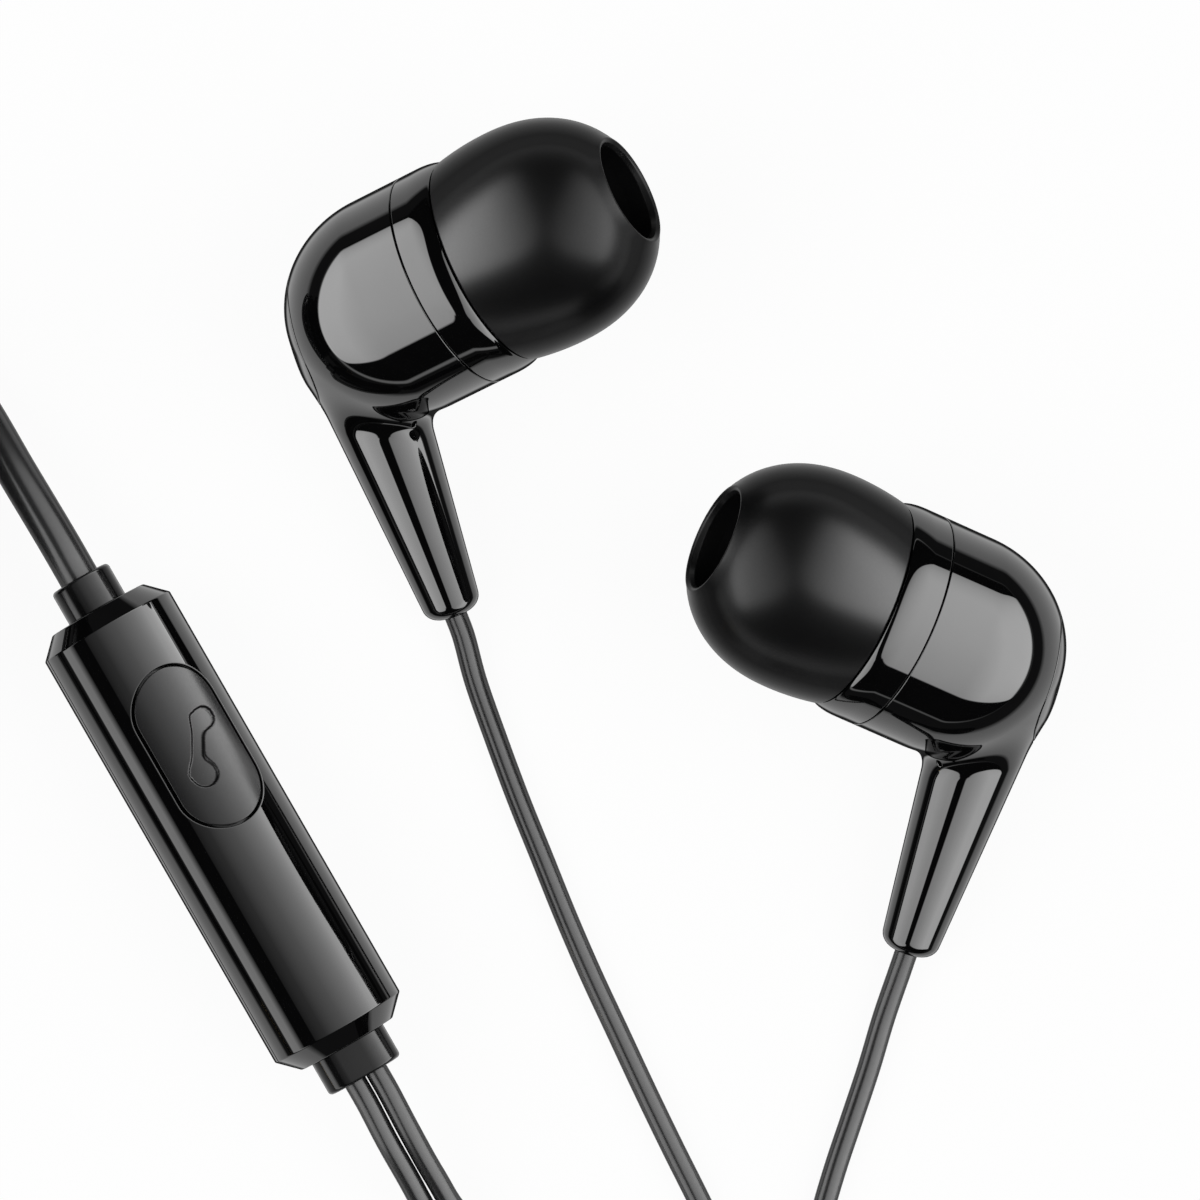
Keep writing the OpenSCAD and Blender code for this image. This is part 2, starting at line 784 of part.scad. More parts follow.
function left_point(p) =
    left_bud_at + turn_z(turn_y(turn_x(p, left_bud_roll), -left_bud_pitch), left_bud_turn);
function right_point(p) =
    right_bud_at + turn_z(turn_y(turn_x(p, right_bud_roll), -right_bud_pitch), right_bud_turn);
function remote_point(p) = [remote_at[0], remote_at[1], remote_r] + turn_z(p, remote_turn);

function unit(v) = v / norm(v);
function tangent(path, i) = unit(path[min(i + 1, len(path) - 1)] - path[max(i - 1, 0)]);
function ring(path, i, r, sides) =
    let (t = tangent(path, i), side = unit(cross(t, [0, 0, 1])), up = cross(side, t))
    [for (k = [0 : sides - 1]) let (a = 360 * k / sides) path[i] + r * (side * cos(a) + up * sin(a))];

module tube(path, d, sides) {
    last = (len(path) - 1) * sides;
    skin = [for (i = [0 : len(path) - 2], k = [0 : sides - 1])
        let (a = i * sides + k, b = i * sides + (k + 1) % sides)
        each [[a, a + sides, b], [b, a + sides, b + sides]]];
    start = [for (k = [1 : sides - 2]) [0, k, k + 1]];
    end = [for (k = [1 : sides - 2]) [last, last + k + 1, last + k]];
    polyhedron(points = [for (i = [0 : len(path) - 1]) each ring(path, i, d / 2, sides)],
        faces = concat(skin, start, end));
}

// Loops lie side by side and in layers. They spiral in, climb in the half turn where they
// turn back, and spiral out again.
function climb(t, per, layers) =
    layers < 2 ? 0 : max(0, min(1, (t - (layers - 1) * per) * 2 + 0.5)) + climb(t, per, layers - 1);
function coil_radius(t, per, outer, pitch) =
    let (layer = floor(t / per), part = t - layer * per)
    outer - pitch * (layer % 2 == 0 ? part : per - part);
function coil_loops(centre, d, pitch, outer, layers, loops, start, sense) =
    let (per = loops / layers, steps = round(loops * loop_rings))
    [for (i = [0 : steps])
        let (t = min(i / loop_rings, loops - 0.0001), a = start + sense * 360 * i / loop_rings,
            r = coil_radius(t, per, outer, pitch))
        [centre[0] + r * cos(a), centre[1] + r * sin(a), d / 2 + pitch * climb(t, per, layers)]];
// Adds the straight ends, one cord diameter long
function with_ends(loops, d, start, sense, turns) =
    let (a = start, b = start + sense * 360 * turns)
    concat([loops[0] - d * sense * [-sin(a), cos(a), 0]], loops,
        [loops[len(loops) - 1] + d * sense * [-sin(b), cos(b), 0]]);
function least_gap(loops, d) =
    min([for (i = [0 : len(loops) - 1], j = [i + loop_rings / 2 : len(loops) - 1])
        norm(loops[i] - loops[j])]) - d;

// The loops and their parts of a loop end each coil where its return route starts
left_loops = 6.5;
right_loops = 6.75;
main_loops = 10.25;
loop_rings = 24;
thin_pitch = branch_d + 0.45;
thick_pitch = main_d + 0.45;
left_coil_at = [2.5, -44.5];
right_coil_at = [23.2, -44.5];
main_coil_at = [-47.5, 5];
thin_coil_r = 9;
thick_coil_r = 14.7;
crimp_in_stem = in_bud([0, 0, crimp_z]);
end_of_stem = in_bud([0, 0, -stem_len]);
past_stem = in_bud([0, 0, -stem_len - branch_d]);

left_route = concat([left_point(crimp_in_stem), left_point(end_of_stem), left_point(past_stem)], [
    [-4.05, -3.6, 0.7], [-3, -6.6, 0.6], [-1.85, -9.7, 0.6], [-0.6, -12.8, 0.6],
    [0.65, -15.9, 0.6], [1.95, -18.9, 0.6], [3.35, -21.9, 0.6], [4.75, -24.9, 0.6],
    [6.2, -27.9, 0.6], [7.6, -30.7, 0.6], [8.95, -33.5, 0.6], [10.1, -36.3, 0.6],
    [11.1, -39.2, 0.6], [11.5, -42, 0.6], [11.5, -43.3, 0.6]]);
left_return_route = concat([
    [-6.5, -43.3, 2.25], [-6.5, -42, 2.2], [-6.4, -39.5, 1.3], [-6.1, -37, 0.7], [-5.8, -34.6, 0.7],
    [-6.1, -32.3, 1.4], [-7.2, -29.9, 2.5], [-8.55, -27.4, 3.4]],
    [for (x = [branch_out_x + branch_d, branch_out_x, branch_crimp_x])
        remote_point([x, -branch_apart / 2, 0])]);
right_route = concat([right_point(crimp_in_stem), right_point(end_of_stem), right_point(past_stem)], [
    [17.2, -21.1, 0.7], [16.4, -23.8, 0.6], [15.5, -26.5, 0.6], [14.6, -29.2, 0.6],
    [13.85, -31.9, 0.6], [13.4, -34.6, 0.6], [13.5, -37.2, 0.6], [13.9, -39.8, 0.6],
    [14.2, -42, 0.6], [14.2, -43.3, 0.6]]);
right_return_route = concat([
    [22, -35.5, 2.25], [20.7, -35.5, 2.25], [18.3, -35.3, 2.1], [15.8, -35, 1.95], [13.3, -34.7, 1.9],
    [10.8, -34.4, 1.9], [8.2, -34.1, 1.8], [5.6, -33.8, 1.1], [2.9, -33.5, 0.7], [0.2, -33.2, 0.6],
    [-2.4, -32.7, 0.75], [-4.75, -31.4, 1.5], [-6.1, -29.3, 2.5], [-7.45, -26.8, 3.4]],
    [for (x = [branch_out_x + branch_d, branch_out_x, branch_crimp_x])
        remote_point([x, branch_apart / 2, 0])]);
main_route = concat(
    [for (x = [main_crimp_x, main_out_x, main_out_x - main_d]) remote_point([x, 0, 0])], [
    [-27.6, 7, 3.2], [-30.2, 11.2, 2], [-33.2, 14.9, 1.2], [-37, 17.8, 1.05], [-41.2, 19.4, 1.05],
    [-43.3, 19.7, 1.05], [-45.4, 19.7, 1.05]]);
main_tail_route = concat([
    [-62.2, 2.9, 8.7], [-62.2, 0.8, 8.7], [-62, -3.8, 8], [-61.2, -8.4, 6.4], [-59.8, -12.9, 4.4],
    [-58.4, -17.4, 3.1], [-58, -20.5, 3], [-58, -22.6, 3]],
    [plug_at + [0, grip_len - cord_grip, 0]]);

left_loop_points = coil_loops(left_coil_at, branch_d, thin_pitch, thin_coil_r, 2, left_loops, 0, -1);
right_loop_points = coil_loops(right_coil_at, branch_d, thin_pitch, thin_coil_r, 2, right_loops, 180, 1);
main_loop_points = coil_loops(main_coil_at, main_d, thick_pitch, thick_coil_r, 4, main_loops, 90, 1);
echo(left_coil_gap = least_gap(left_loop_points, branch_d));
echo(right_coil_gap = least_gap(right_loop_points, branch_d));
echo(main_coil_gap = least_gap(main_loop_points, main_d));

module left_cord() { color(cord_grey) tube(left_route, branch_d, 8); }
module left_cord_return() { color(cord_grey) tube(left_return_route, branch_d, 8); }
module right_cord() { color(cord_grey) tube(right_route, branch_d, 8); }
module right_cord_return() { color(cord_grey) tube(right_return_route, branch_d, 8); }
module main_cord() { color(cord_grey) tube(main_route, main_d, 8); }
module main_cord_tail() { color(cord_grey) tube(main_tail_route, main_d, 8); }
module left_coil() {
    color(cord_grey) tube(with_ends(left_loop_points, branch_d, 0, -1, left_loops), branch_d, 6);
}
module right_coil() {
    color(cord_grey) tube(with_ends(right_loop_points, branch_d, 180, 1, right_loops), branch_d, 6);
}
module main_coil() {
    color(cord_grey) tube(with_ends(main_loop_points, main_d, 90, 1, main_loops), main_d, 6);
}

module left_ear_tip() { bud("left") ear_tip(); }
module left_front_shell() { bud("left") front_shell(); }
module left_rear_shell() { bud("left") rear_shell(); }
module left_back_cap() { bud("left") back_cap(); }
module left_nozzle_mesh() { bud("left") nozzle_mesh(); }
module left_driver_frame() { bud("left") driver_frame(); }
module left_yoke() { bud("left") yoke(); }
module left_magnet() { bud("left") magnet(); }
module left_top_washer() { bud("left") top_washer(); }
module left_voice_coil() { bud("left") voice_coil(); }
module left_diaphragm() { bud("left") diaphragm(); }
module left_tag_board() { bud("left") tag_board(); }
module left_leads() { bud("left") leads(); }
module left_crimp() { bud("left") crimp(); }
module right_ear_tip() { bud("right") ear_tip(); }
module right_front_shell() { bud("right") front_shell(); }
module right_rear_shell() { bud("right") rear_shell(); }
module right_back_cap() { bud("right") back_cap(); }
module right_nozzle_mesh() { bud("right") nozzle_mesh(); }
module right_driver_frame() { bud("right") driver_frame(); }
module right_yoke() { bud("right") yoke(); }
module right_magnet() { bud("right") magnet(); }
module right_top_washer() { bud("right") top_washer(); }
module right_voice_coil() { bud("right") voice_coil(); }
module right_diaphragm() { bud("right") diaphragm(); }
module right_tag_board() { bud("right") tag_board(); }
module right_leads() { bud("right") leads(); }
module right_crimp() { bud("right") crimp(); }

left_ear_tip();
left_front_shell();
left_rear_shell();
left_back_cap();
left_nozzle_mesh();
left_driver_frame();
left_yoke();
left_magnet();
left_top_washer();
left_voice_coil();
left_diaphragm();
left_tag_board();
left_leads();
left_crimp();
right_ear_tip();
right_front_shell();
right_rear_shell();
right_back_cap();
right_nozzle_mesh();
right_driver_frame();
right_yoke();
right_magnet();
right_top_washer();
right_voice_coil();
right_diaphragm();
right_tag_board();
right_leads();
right_crimp();
remote_front_shell();
remote_back_shell();
main_collar();
branch_collar();
call_button();
circuit_board();
switch_case();
switch_plunger();
microphone();
main_crimp();
branch_crimps();
remote_leads();
plug_tip();
plug_ring_upper();
plug_ring_lower();
plug_sleeve();
plug_insulator();
plug_grip();
plug_relief();
left_cord();
left_coil();
left_cord_return();
right_cord();
right_coil();
right_cord_return();
main_cord();
main_coil();
main_cord_tail();
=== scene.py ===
from math import atan, atan2, cos, pi, radians, sin

import bmesh
import bpy
import numpy as np
from mathutils import Matrix, Vector
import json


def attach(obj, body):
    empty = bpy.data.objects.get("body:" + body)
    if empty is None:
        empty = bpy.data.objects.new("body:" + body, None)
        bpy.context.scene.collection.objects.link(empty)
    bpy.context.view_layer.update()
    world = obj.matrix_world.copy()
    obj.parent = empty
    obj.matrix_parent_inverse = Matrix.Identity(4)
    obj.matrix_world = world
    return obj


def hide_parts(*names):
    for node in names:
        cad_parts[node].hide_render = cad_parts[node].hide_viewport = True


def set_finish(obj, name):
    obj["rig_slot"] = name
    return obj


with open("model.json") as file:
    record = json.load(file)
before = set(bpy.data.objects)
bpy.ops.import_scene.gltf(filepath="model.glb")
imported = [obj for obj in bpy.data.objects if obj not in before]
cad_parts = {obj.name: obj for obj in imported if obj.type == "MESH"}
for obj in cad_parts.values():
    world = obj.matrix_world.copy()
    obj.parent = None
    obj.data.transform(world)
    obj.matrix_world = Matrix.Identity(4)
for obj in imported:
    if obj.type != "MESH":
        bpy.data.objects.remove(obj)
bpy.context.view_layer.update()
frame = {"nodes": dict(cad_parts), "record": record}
mm = 0.001
far = 9  # mm, past the reach of any hole
print("frame loaded:", len(frame["nodes"]), "nodes")


def addThing(name, data):
    thing = bpy.data.objects.new(name, data)
    bpy.context.collection.objects.link(thing)
    return thing


# camera, straight above what lies on the table
camera = {
    "aim": (2.43, 0.56),  # mm on the table, under the lens
    "height": 400,        # mm
    "width": 62.5,        # mm of table across the picture
    "sensor": 36,
}


def placeCamera():
    data = bpy.data.cameras.new("camera")
    data.sensor_width = camera["sensor"]
    data.lens = camera["sensor"] * camera["height"] / camera["width"]
    data.clip_start = 0.01
    data.clip_end = 20
    thing = addThing("camera", data)
    thing.location = (camera["aim"][0] * mm, camera["aim"][1] * mm, camera["height"] * mm)
    bpy.context.scene.camera = thing


placeCamera()
print("camera placed")


# where the buds and the remote lie, mm and degrees
leftBud = {"at": (-3.3, 17.9, 7.67), "turn": 25.6, "pitch": 20.1, "roll": -80.2}
rightBud = {"at": (15.7, 0.4, 7.37), "turn": 156.3, "pitch": 16.7, "roll": 79.1}
remotePlace = {"at": (-17.05, -11.15, 3.7), "turn": -60.1, "buttonTurn": 20.8}


def spin(degrees, axis):
    return Matrix.Rotation(radians(degrees), 4, axis)


def budMatrix(lie):
    at = Matrix.Translation(Vector(lie["at"]) * mm)
    return at @ spin(lie["turn"], "Z") @ spin(-lie["pitch"], "Y") @ spin(lie["roll"], "X")


levelRemote = Matrix.Translation(Vector(remotePlace["at"]) * mm) @ spin(remotePlace["turn"], "Z")
turnedRemote = levelRemote @ spin(-remotePlace["buttonTurn"], "X")


def inFrame(matrix, point):
    return tuple(matrix @ (Vector(point) * mm))


# cords: the same routes and coils as the solid model's. A hole has a ring of finer faces round it,
# and corners nearer to its edge than snap move onto the edge
cord = {
    "thin": 1.2,
    "thick": 2.1,
    "gap": 0.45,          # between loops
    "loopPoints": 48,
    "step": 0.45,         # mm between the points of the finished curve
    "sides": 7,           # bevel resolution
}
stem = {
    "back": 9.3, "drop": 4.75, "length": 11.1, "lean": 8.8, "coarseR": 2.7,
    "rootR": 2.5, "endR": 1.475, "round": 0.7, "top": 3, "crimpZ": -8.1,
    "hole": {"r": 0.71, "ring": 0.35, "cuts": 2, "snap": 0.02},
    "vent": {"r": 0.19, "ring": 0.41, "cuts": 3, "snap": 0.015}, "ventZ": -0.6, "ventTurn": 37,
}
remote = {
    "r": 3.7, "half": 12.9, "bevel": 1, "collar": 1.9, "crimpX": 10.8, "apart": 1.24,
    "seamGap": 0.05, "edge": 0.13, "rim": 0.07, "wall": 0.7, "endHole": 1.42,
    "mic": {"r": 0.47, "ring": 0.53, "cuts": 2, "snap": 0.02}, "micX": 5.5,
}
stemMatrix = Matrix.Translation(Vector((-stem["back"], 0, -stem["drop"]))) @ spin(stem["lean"], "Y")


def budCordStart(lie):
    alongStem = [stem["crimpZ"], -stem["length"], -stem["length"] - cord["thin"]]
    return [inFrame(budMatrix(lie), stemMatrix @ Vector((0, 0, z))) for z in alongStem]


def remoteEnd(distances, across=0):
    return [inFrame(levelRemote, (x, across, 0)) for x in distances]


def inMetres(points):
    return [(x * mm, y * mm, z * mm) for x, y, z in points]


def coilLoops(coil):
    d = coil["d"]
    pitch = d + cord["gap"]
    per = coil["loops"] / coil["layers"]
    points = []
    for i in range(round(coil["loops"] * cord["loopPoints"]) + 1):
        t = min(i / cord["loopPoints"], coil["loops"] - 0.0001)
        layer = int(t // per)
        part = t - layer * per
        r = coil["outer"] - pitch * (part if layer % 2 == 0 else per - part)
        lift = sum(min(1, max(0, (t - k * per) * 2 + 0.5)) for k in range(1, coil["layers"]))
        a = radians(coil["start"]) + coil["sense"] * 2 * pi * i / cord["loopPoints"]
        points.append((coil["at"][0] + r * cos(a), coil["at"][1] + r * sin(a), d / 2 + pitch * lift))
    return inMetres(points)


outX = remote["half"] + remote["collar"]  # the collars' ends
branchEnd = [outX + cord["thin"], outX, remote["crimpX"]]
mainEnd = [-remote["crimpX"], -outX, -outX - cord["thick"]]
plugAt = (-58, -44.6, 3)
gripLength = 15

leftCord = {
    "d": cord["thin"],
    "out": budCordStart(leftBud) + inMetres([
        (-4.05, -3.6, 0.7), (-3, -6.6, 0.6), (-1.85, -9.7, 0.6), (-0.6, -12.8, 0.6),
        (0.65, -15.9, 0.6), (1.95, -18.9, 0.6), (3.35, -21.9, 0.6), (4.75, -24.9, 0.6),
        (6.2, -27.9, 0.6), (7.6, -30.7, 0.6), (8.95, -33.5, 0.6), (10.1, -36.3, 0.6),
        (11.1, -39.2, 0.6), (11.5, -42, 0.6), (11.5, -43.3, 0.6)]),
    "coil": {"at": (2.5, -44.5), "d": cord["thin"], "outer": 9, "layers": 2, "loops": 6.5,
             "start": 0, "sense": -1},
    "back": inMetres([
        (-6.5, -43.3, 2.25), (-6.5, -42, 2.2), (-6.4, -39.5, 1.3), (-6.1, -37, 0.7),
        (-5.8, -34.6, 0.7), (-6.1, -32.3, 1.4), (-7.2, -29.9, 2.5), (-8.55, -27.4, 3.4)])
    + remoteEnd(branchEnd, -remote["apart"] / 2),
    "length": 0.335, "farEnd": "object",
    "replaces": ["left_cord", "left_coil", "left_cord_return"],
}
rightCord = {
    "d": cord["thin"],
    "out": budCordStart(rightBud) + inMetres([
        (17.2, -21.1, 0.7), (16.4, -23.8, 0.6), (15.5, -26.5, 0.6), (14.6, -29.2, 0.6),
        (13.85, -31.9, 0.6), (13.4, -34.6, 0.6), (13.5, -37.2, 0.6), (13.9, -39.8, 0.6),
        (14.2, -42, 0.6), (14.2, -43.3, 0.6)]),
    "coil": {"at": (23.2, -44.5), "d": cord["thin"], "outer": 9, "layers": 2, "loops": 6.75,
             "start": 180, "sense": 1},
    "back": inMetres([
        (22, -35.5, 2.25), (20.7, -35.5, 2.25), (18.3, -35.3, 2.1), (15.8, -35, 1.95),
        (13.3, -34.7, 1.9), (10.8, -34.4, 1.9), (8.2, -34.1, 1.8), (5.6, -33.8, 1.1),
        (2.9, -33.5, 0.7), (0.2, -33.2, 0.6), (-2.4, -32.7, 0.75), (-4.75, -31.4, 1.5),
        (-6.1, -29.3, 2.5), (-7.45, -26.8, 3.4)])
    + remoteEnd(branchEnd, remote["apart"] / 2),
    "length": 0.335, "farEnd": "object",
    "replaces": ["right_cord", "right_coil", "right_cord_return"],
}
mainCord = {
    "d": cord["thick"],
    "out": remoteEnd(mainEnd) + inMetres([
        (-27.6, 7, 3.2), (-30.2, 11.2, 2), (-33.2, 14.9, 1.2), (-37, 17.8, 1.05),
        (-41.2, 19.4, 1.05), (-43.3, 19.7, 1.05), (-45.4, 19.7, 1.05)]),
    "coil": {"at": (-47.5, 5), "d": cord["thick"], "outer": 14.7, "layers": 4, "loops": 10.25,
             "start": 90, "sense": 1},
    "back": inMetres([
        (-62.2, 2.9, 8.7), (-62.2, 0.8, 8.7), (-62, -3.8, 8), (-61.2, -8.4, 6.4),
        (-59.8, -12.9, 4.4), (-58.4, -17.4, 3.1), (-58, -20.5, 3), (-58, -22.6, 3),
        (plugAt[0], plugAt[1] + gripLength - 2, plugAt[2])]),
    "length": 0.81, "farEnd": "plug",
    "replaces": ["main_cord", "main_coil", "main_cord_tail"],
}


def smoothPath(points, step):
    p = [np.array(q) for q in points]
    p = [2 * p[0] - p[1]] + p + [2 * p[-1] - p[-2]]
    path = []
    for a, b, c, d in zip(p, p[1:], p[2:], p[3:]):
        knots = [0]
        for u, v in ((a, b), (b, c), (c, d)):
            knots.append(knots[-1] + np.linalg.norm(v - u) ** 0.5)
        t0, t1, t2, t3 = knots
        count = max(1, round(float(np.linalg.norm(c - b)) / (step * mm)))
        for i in range(count):
            t = t1 + (t2 - t1) * i / count
            ab = ((t1 - t) * a + (t - t0) * b) / (t1 - t0)
            bc = ((t2 - t) * b + (t - t1) * c) / (t2 - t1)
            cd = ((t3 - t) * c + (t - t2) * d) / (t3 - t2)
            abc = ((t2 - t) * ab + (t - t0) * bc) / (t2 - t0)
            bcd = ((t3 - t) * bc + (t - t1) * cd) / (t3 - t1)
            path.append(((t2 - t) * abc + (t - t1) * bcd) / (t2 - t1))
    path.append(p[-2])
    return path


def makeCord(name, route):
    path = smoothPath(route["out"] + coilLoops(route["coil"])[1:-1] + route["back"], cord["step"])
    data = bpy.data.curves.new(name, "CURVE")
    data.dimensions = "3D"
    data.twist_mode = "MINIMUM"
    line = data.splines.new("POLY")
    line.points.add(len(path) - 1)
    for point, place in zip(line.points, path):
        point.co = (*place, 1)
        point.radius = route["d"] / 2 * mm
    line.use_smooth = True
    data.bevel_depth = 1  # the points hold the radius
    data.bevel_resolution = cord["sides"]
    data.use_fill_caps = True
    thing = addThing(name, data)
    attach(thing, "earphones")
    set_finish(thing, "cord_jacket")
    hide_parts(*route["replaces"])
    length = sum(float(np.linalg.norm(b - a)) for a, b in zip(path, path[1:]))
    print(f"{name}: {length:.4f} m, {len(path)} points")
    return thing


cords = {"leftCord": leftCord, "rightCord": rightCord, "mainCord": mainCord}
cordPieces = {name: makeCord(name, route) for name, route in cords.items()}
print("cords laid")


# mesh tools; shapes are worked out in mm, with X along the barrel, the remote or the plug
def slopeOf(field, p):
    step = 0.002
    return np.stack([(field(p + e) - field(p - e)) / (2 * step) for e in np.eye(3) * step], 1)


def settle(points, fields, rounds=5):
    p = np.array(points, float)
    for _ in range(rounds):
        for field in fields:
            slope = slopeOf(field, p)
            p -= (field(p) / np.maximum((slope ** 2).sum(1), 1e-6))[:, None] * slope
    return p


def placesOf(verts):
    return np.array([v.co for v in verts])


def movePlaces(verts, places):
    for v, place in zip(verts, places):
        v.co = place


def only(geom, kind):
    return [g for g in geom if isinstance(g, kind)]


# two surfaces joined by a soft fillet, and the distance to the corner where two faces meet
def melted(a, b, reach):
    return np.minimum(a, b) - np.maximum(reach - np.abs(a - b), 0) ** 2 / (4 * reach)


def cornered(a, b):
    return np.hypot(np.maximum(a, 0), np.maximum(b, 0)) + np.minimum(np.maximum(a, b), 0)


def facingLayer(bm):
    return bm.verts.layers.float_vector.get("facing") or bm.verts.layers.float_vector.new("facing")


def faceAlong(bm, field):
    layer = facingLayer(bm)
    verts = list(bm.verts)
    slope = slopeOf(field, placesOf(verts))
    slope /= np.linalg.norm(slope, axis=1)[:, None]
    for v, n in zip(verts, slope):
        v[layer] = n


# outlines: corners (x, r, fillet), the outside drawn forwards and the inside backwards
def roundedOutline(corners, closed=False, steps=4):
    count = len(corners)
    places = [np.array(c[:2], float) for c in corners]
    fillets = [c[2] if len(c) > 2 else 0 for c in corners]
    outline = []
    for i in range(count):
        first, last = not closed and i == 0, not closed and i == count - 1
        here = places[i]
        before = here - places[i - 1] if not first else places[1] - here
        after = places[(i + 1) % count] - here if not last else here - places[-2]
        runs = np.linalg.norm(before), np.linalg.norm(after)
        before, after = before / runs[0], after / runs[1]
        if fillets[i] == 0 or first or last:
            mean = before + after
            mean /= np.linalg.norm(mean)
            outline.append((*here, -mean[1], mean[0]))
            continue
        turn = atan2(before[0] * after[1] - before[1] * after[0], float(before @ after))
        reach = min(fillets[i] * abs(np.tan(turn / 2)), 0.48 * runs[0], 0.48 * runs[1])
        radius = reach / abs(np.tan(turn / 2))
        side = 1 if turn > 0 else -1
        centre = here - before * reach + side * radius * np.array([-before[1], before[0]])
        for k in range(steps + 1):
            a = turn * k / steps
            along = np.array([before[0] * cos(a) - before[1] * sin(a),
                              before[0] * sin(a) + before[1] * cos(a)])
            normal = np.array([-along[1], along[0]])
            outline.append((*(centre - side * radius * normal), *normal))
    return outline


def lathe(bm, outline, closed=False, turns=128, sector=None):
    layer = facingLayer(bm)
    whole = sector is None
    angles = [2 * pi * j / turns for j in range(turns)] if whole else [
        sector[0] + (sector[1] - sector[0]) * j / turns for j in range(turns + 1)]
    rows = []
    for x, r, nx, nr in outline:
        if r < 1e-6:
            v = bm.verts.new((x, 0, 0))
            v[layer] = (1 if nx > 0 else -1, 0, 0)
            rows.append([v] * len(angles))
            continue
        row = []
        for a in angles:
            v = bm.verts.new((x, r * cos(a), r * sin(a)))
            v[layer] = (nx, nr * cos(a), nr * sin(a))
            row.append(v)
        rows.append(row)
    pairs = list(zip(rows, rows[1:])) + ([(rows[-1], rows[0])] if closed else [])
    for low, high in pairs:
        for j in range(len(angles) if whole else len(angles) - 1):
            k = (j + 1) % len(angles)
            corners = [low[j], low[k], high[k], high[j]]
            face = [v for i, v in enumerate(corners) if v is not corners[i - 1]]
            if len(face) > 2:
                bm.faces.new(face)


def bridge(bm, rings):
    for low, high in zip(rings, rings[1:]):
        for k in range(len(low)):
            m = (k + 1) % len(low)
            bm.faces.new((low[k], low[m], high[m], high[k]))


# keeps the side where gate is positive; field is the surface that the cut edge stays on
def cutSkin(bm, gate, field, snap):
    layer = facingLayer(bm)
    verts = list(bm.verts)
    places = placesOf(verts)
    value = gate(places)
    near = np.flatnonzero(np.abs(value) < snap)
    if len(near):
        movePlaces([verts[i] for i in near], settle(places[near], [gate, field]))
        value[near] = 0
    value = dict(zip(verts, value))
    fresh = []
    for edge in list(bm.edges):
        a, b = edge.verts
        if value[a] * value[b] < 0:
            _, v = bmesh.utils.edge_split(edge, a, value[a] / (value[a] - value[b]))
            value[v] = 0
            fresh.append(v)
    if fresh:
        movePlaces(fresh, settle(placesOf(fresh), [gate, field]))
        for v in fresh:
            v[layer] = v[layer].normalized()
    rim = [v for v in bm.verts if value[v] == 0]
    bmesh.ops.connect_verts(bm, verts=rim)
    middles = gate(np.array([f.calc_center_median() for f in bm.faces]))
    bmesh.ops.delete(bm, geom=[f for f, side in zip(list(bm.faces), middles) if side < 0], context="FACES")


# splits the edges where near is true, and settles the new corners on the field's surface
def finer(bm, near, field, cuts):
    places = placesOf(bm.verts)
    marked = {v for v, inside in zip(bm.verts, near(places)) if inside}
    edges = [e for e in bm.edges if e.verts[0] in marked and e.verts[1] in marked]
    done = bmesh.ops.subdivide_edges(bm, edges=edges, cuts=cuts, use_grid_fill=True)
    inner = only(done["geom_inner"], bmesh.types.BMVert)
    movePlaces(inner, settle(placesOf(inner), [field]))


# a round hole; around gives how far a place is from the hole's middle line
def drill(bm, around, hole, field):
    finer(bm, lambda p: around(p) < hole["r"] + hole["ring"], field, hole["cuts"])
    cutSkin(bm, lambda p: around(p) - hole["r"], field, hole["snap"])


# gives an open skin its thickness, with a small round edge along every opening
def closeShell(bm, wall, rim, steps=3):
    layer = facingLayer(bm)
    borders = []
    for edge in bm.edges:
        if len(edge.link_faces) == 1:
            loop = edge.link_loops[0]
            borders.append((loop.vert, loop.link_loop_next.vert))
    outwards = {}
    for a, b in borders:
        along = (b.co - a.co).normalized()
        for v in (a, b):
            outwards[v] = outwards.get(v, Vector()) + along.cross(Vector(v[layer]))
    copy = bmesh.ops.duplicate(bm, geom=list(bm.verts) + list(bm.edges) + list(bm.faces))
    twin = copy["vert_map"]
    for v in list(outwards):
        outwards[v].normalize()
    for v in only(copy["geom"], bmesh.types.BMVert):
        v.co = v.co - v[layer] * wall
        v[layer] = -v[layer]
    bmesh.ops.reverse_faces(bm, faces=only(copy["geom"], bmesh.types.BMFace))
    columns = {}
    for v, out in outwards.items():
        normal = v[layer].copy()
        column = [v]
        for k in range(1, steps + 1):
            a = pi / 2 * k / steps
            fresh = bm.verts.new(v.co + rim * (sin(a) * out - (1 - cos(a)) * normal))
            fresh[layer] = normal * cos(a) + out * sin(a)
            column.append(fresh)
        column.append(twin[v])
        columns[v] = column
    for a, b in borders:
        for k in range(steps + 1):
            bm.faces.new((columns[b][k], columns[a][k], columns[a][k + 1], columns[b][k + 1]))


# each piece stands for the solid of the same name: leftEarTip for left_ear_tip
def makePiece(name, bm, matrix, slot="gloss_shell", body="earphones"):
    layer = facingLayer(bm)
    facing = [v[layer].normalized() for v in bm.verts]
    bmesh.ops.triangulate(bm, faces=[f for f in bm.faces if len(f.verts) > 4])
    bmesh.ops.scale(bm, vec=(mm, mm, mm), verts=bm.verts)
    data = bpy.data.meshes.new(name)
    bm.to_mesh(data)
    bm.free()
    data.shade_smooth()
    data.normals_split_custom_set_from_vertices(facing)
    data.attributes.remove(data.attributes["facing"])
    data.transform(matrix)
    thing = addThing(name, data)
    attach(thing, body)
    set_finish(thing, slot)
    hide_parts("".join("_" + c.lower() if c.isupper() else c for c in name))
    return thing


